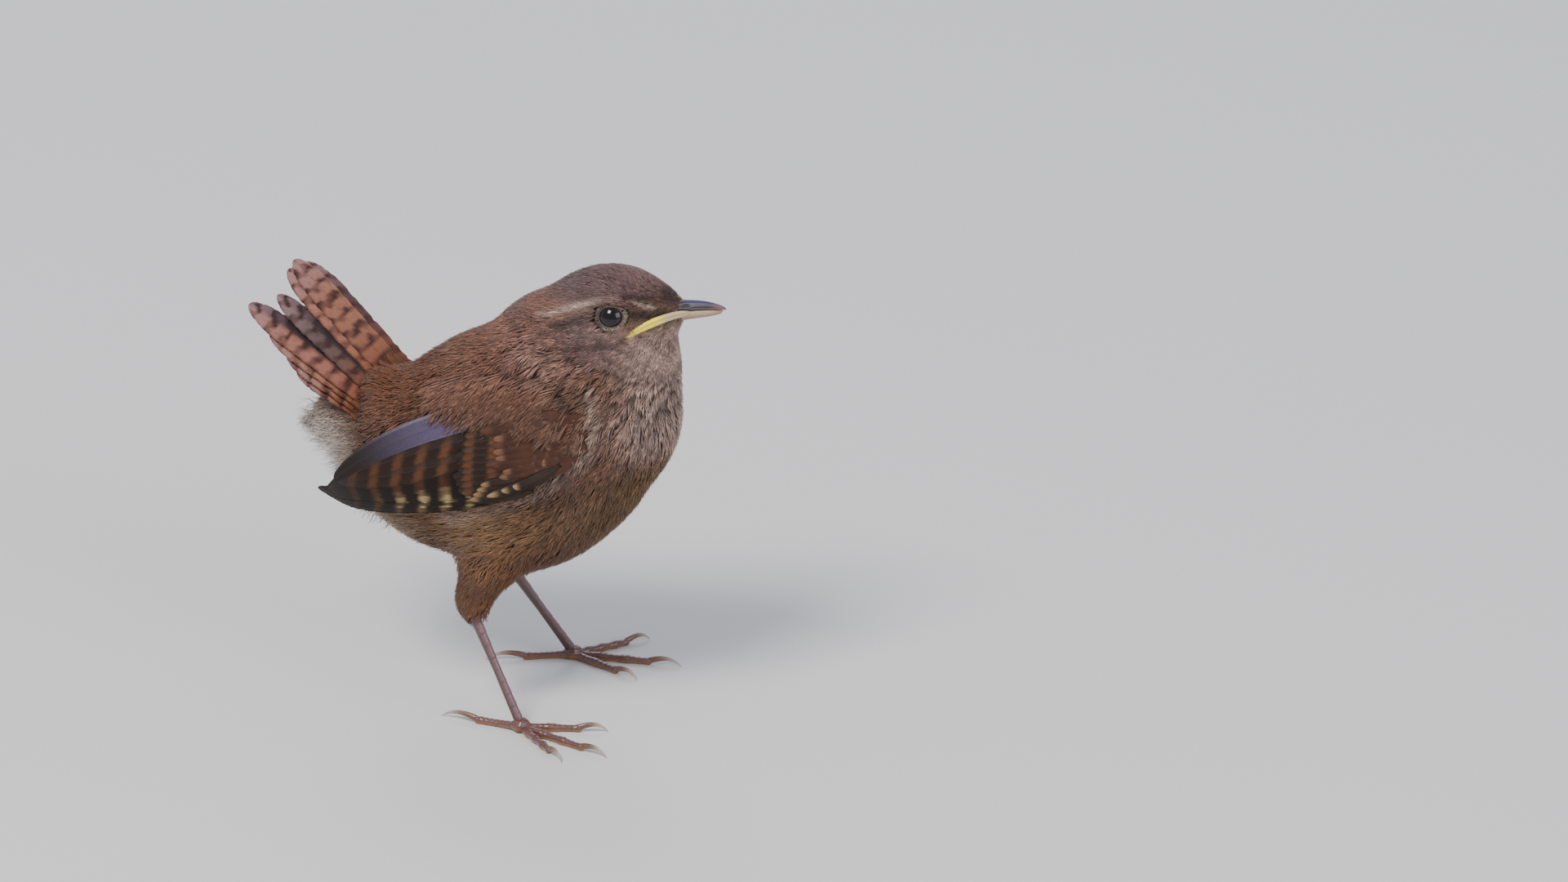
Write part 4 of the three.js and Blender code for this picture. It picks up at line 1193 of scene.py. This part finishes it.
# The legs
# Thin bare shanks with a row of overlapping plates down the front, a knuckled ball of a foot and four
# toes, three ahead and one behind. The skin is pinkish brown horn, ochre on the soles.
leg_skin = Finish("leg skin")
place = leg_skin.node("ShaderNodeTexCoord", gives=3)
scales = leg_skin.node("ShaderNodeTexVoronoi", {"feature": "DISTANCE_TO_EDGE"}, {"Vector": place, "Scale": 2600.0})
clouds = leg_skin.noise(700.0, 4.0)
seams = leg_skin.node("ShaderNodeMapRange", None, {"Value": scales, "From Max": 0.12})
leg_skin.shine(
    Base_Color=leg_skin.tinted(0.62 + 0.2 * seams + 0.4 * clouds),
    Roughness=0.26 + 0.2 * clouds,
    Coat_Weight=0.3 * clouds + 0.45,
    Coat_Roughness=0.16,
    Normal=leg_skin.bump(0.35, 0.00008, seams + clouds * 0.5),
)
claw_horn = Finish("claw horn")
grain = claw_horn.noise(1600.0, 4.0)
claw_horn.shine(
    Base_Color=claw_horn.tinted(0.75 + 0.5 * grain),
    Roughness=0.25 + 0.15 * grain,
    Coat_Weight=0.2 + 0.2 * grain,
    Coat_Roughness=0.2,
)

toe_sizes = {"middle": (12.0, 4.2, 3), "inner": (9.0, 3.6, 2), "outer": (9.8, 3.4, 4), "hind": (7.6, 5.2, 1)}
headings = {  # of each toe, in degrees from straight ahead
    "left": {"middle": 3, "inner": -27, "outer": 48, "hind": 198},
    "right": {"middle": -24, "inner": 14, "outer": -48, "hind": 169},
}
heel_radius, low_radius, plate_count = 0.85, 0.72, 9.5
toe_radius, toe_end_radius, toe_plate, toe_pad = 0.62, 0.52, 0.85, 0.6
claw_radius, claw_end_radius = 0.50, 0.06
for label, side in (("left", 1), ("right", -1)):
    heel, foot = np.array([0.0, side * 9.7, 16.5]), np.array([8.8, side * 14.5, 1.0])
    share = np.linspace(0, 1, 120)
    line = heel + (foot - heel) * share[:, None]
    low = 0.62 + (low_radius - 0.62) * np.clip(2 * share - 1, 0, 1)
    size = heel_radius + (low - heel_radius) * np.minimum(1, 2 * share)
    around = 28
    angle = all_round(around)
    plate = (share * plate_count) % 1
    front = ease(np.sin(angle), -0.1, 0.5)
    plates = 0.09 * plate - 0.03 - 0.10 * near(plate, 1, 0.06)
    swell = 1 + plates[:, None] * front + 0.02 * np.sin(7 * angle) * (1 - front)
    points, faces, angles = rod(line, size * 0.92, size * 1.08, size, around, swell)
    # The shank is painted dark red-brown behind and paler lilac on its front: partly paler front plates and partly a
    # painted gloss highlight.
    colour = blend(linear(70, 38, 33), linear(112, 78, 84), ease(np.sin(angles), -0.1, 0.8))
    colour = blend(colour, linear(56, 32, 28), 0.6 * near(plate, 1, 0.08)[:, None] * front)
    make(f"{label}_shank", points, faces, leg_skin.material, [f"shank_{label}"], {"Tint": with_ends(colour)})

    rings, spokes = 32, 48
    off = np.linspace(0.03, np.pi - 0.03, rings)[:, None] + np.zeros(spokes)
    spin = all_round(spokes) + np.zeros((rings, 1))
    lump = 1 + 0.05 * np.sin(5 * spin + 2 * off) * np.sin(off) + 0.03 * np.cos(9 * off)
    ways = (np.sin(off) * np.cos(spin) * 1.55, np.sin(off) * np.sin(spin) * 1.3, np.cos(off) * 1.1)
    points = (foot + np.stack(ways, -1) * lump[..., None]).reshape(-1, 3)
    points[:, 2] = np.maximum(points[:, 2], 0)
    grid = np.arange(rings * spokes).reshape(rings, spokes)
    beyond = np.roll(grid, -1, 1)
    quads = np.stack([grid[:-1], grid[1:], beyond[1:], beyond[:-1]], -1).reshape(-1, 4)
    colour = blend(linear(140, 96, 50), linear(100, 62, 58), ease(points[:, 2], 0.3, 1.4))
    faces = [quads, grid[0][None, ::-1], grid[-1][None]]
    make(f"{label}_ball_of_foot", points, faces, leg_skin.material, [f"foot_{label}"], {"Tint": colour})

    under_foot = foot * [1, 1, 0]
    for toe, (length, claw, joints) in toe_sizes.items():
        heading = math.radians(headings[label][toe])
        way = np.array([math.cos(heading), math.sin(heading), 0.0])
        start, end = under_foot + [0, 0, 0.75], under_foot + [0, 0, 0.50] + way * length
        share = np.linspace(0, 1, 20 + int(6 * length))
        line = start + (end - start) * share[:, None]
        knuckle = 0.14 * np.abs(np.cos(np.pi * joints * share)) ** 4
        rounded = np.sqrt(np.clip(1 - np.clip((share - 0.94) / 0.06, 0, 1) ** 2 * 0.8, 0.1, 1))
        size = (toe_radius + (toe_end_radius - toe_radius) * share + knuckle - 0.05) * rounded
        plate = (share * length / toe_plate) % 1
        around = 24
        angle = all_round(around)
        over = ease(np.sin(angle), 0.0, 0.6)
        plates = 0.14 * plate - 0.05 - 0.10 * near(plate, 1, 0.08)
        pads = 0.05 * np.abs(np.sin(np.pi * share * length / toe_pad))
        swell = 1 + plates[:, None] * over + pads[:, None] * ease(-np.sin(angle), 0.2, 0.8)
        points, faces, angles = rod(line, size, size, size, around, swell)
        points[:, 2] = np.maximum(points[:, 2], 0)
        colour = blend(linear(144, 98, 50), linear(106, 66, 60), ease(np.sin(angles), -0.5, 0.3))
        marks = {"Tint": with_ends(blend(colour, linear(60, 34, 30), 0.6 * near(plate, 1, 0.1)[:, None] * over))}
        make(f"{label}_{toe}_toe", points, faces, leg_skin.material, [f"toe_{toe}_{label}"], marks)

        share = np.linspace(0, 1, 36)
        reaches = ((-0.7, 0.50), (0.3 + 0.58 * claw, 1.95), (0.3 + claw, 0.08))
        spots = [under_foot + way * (length + reach) + [0, 0, height] for reach, height in reaches]
        line = curve_toward(*spots, share[:, None])
        size = claw_radius + (claw_end_radius - claw_radius) * share ** 1.5
        points, faces, angles = rod(line, size * 0.82, size, size * 0.9, 20)
        points[:, 2] = np.maximum(points[:, 2], 0)
        colour = blend(linear(112, 78, 60), linear(176, 158, 148), ease(share, 0.25, 0.8)[:, None] + 0 * angles)
        marks = {"Tint": with_ends(colour)}
        make(f"{label}_{toe}_claw", points, faces, claw_horn.material, [f"claw_{toe}_{label}"], marks)

bpy.context.view_layer.update()
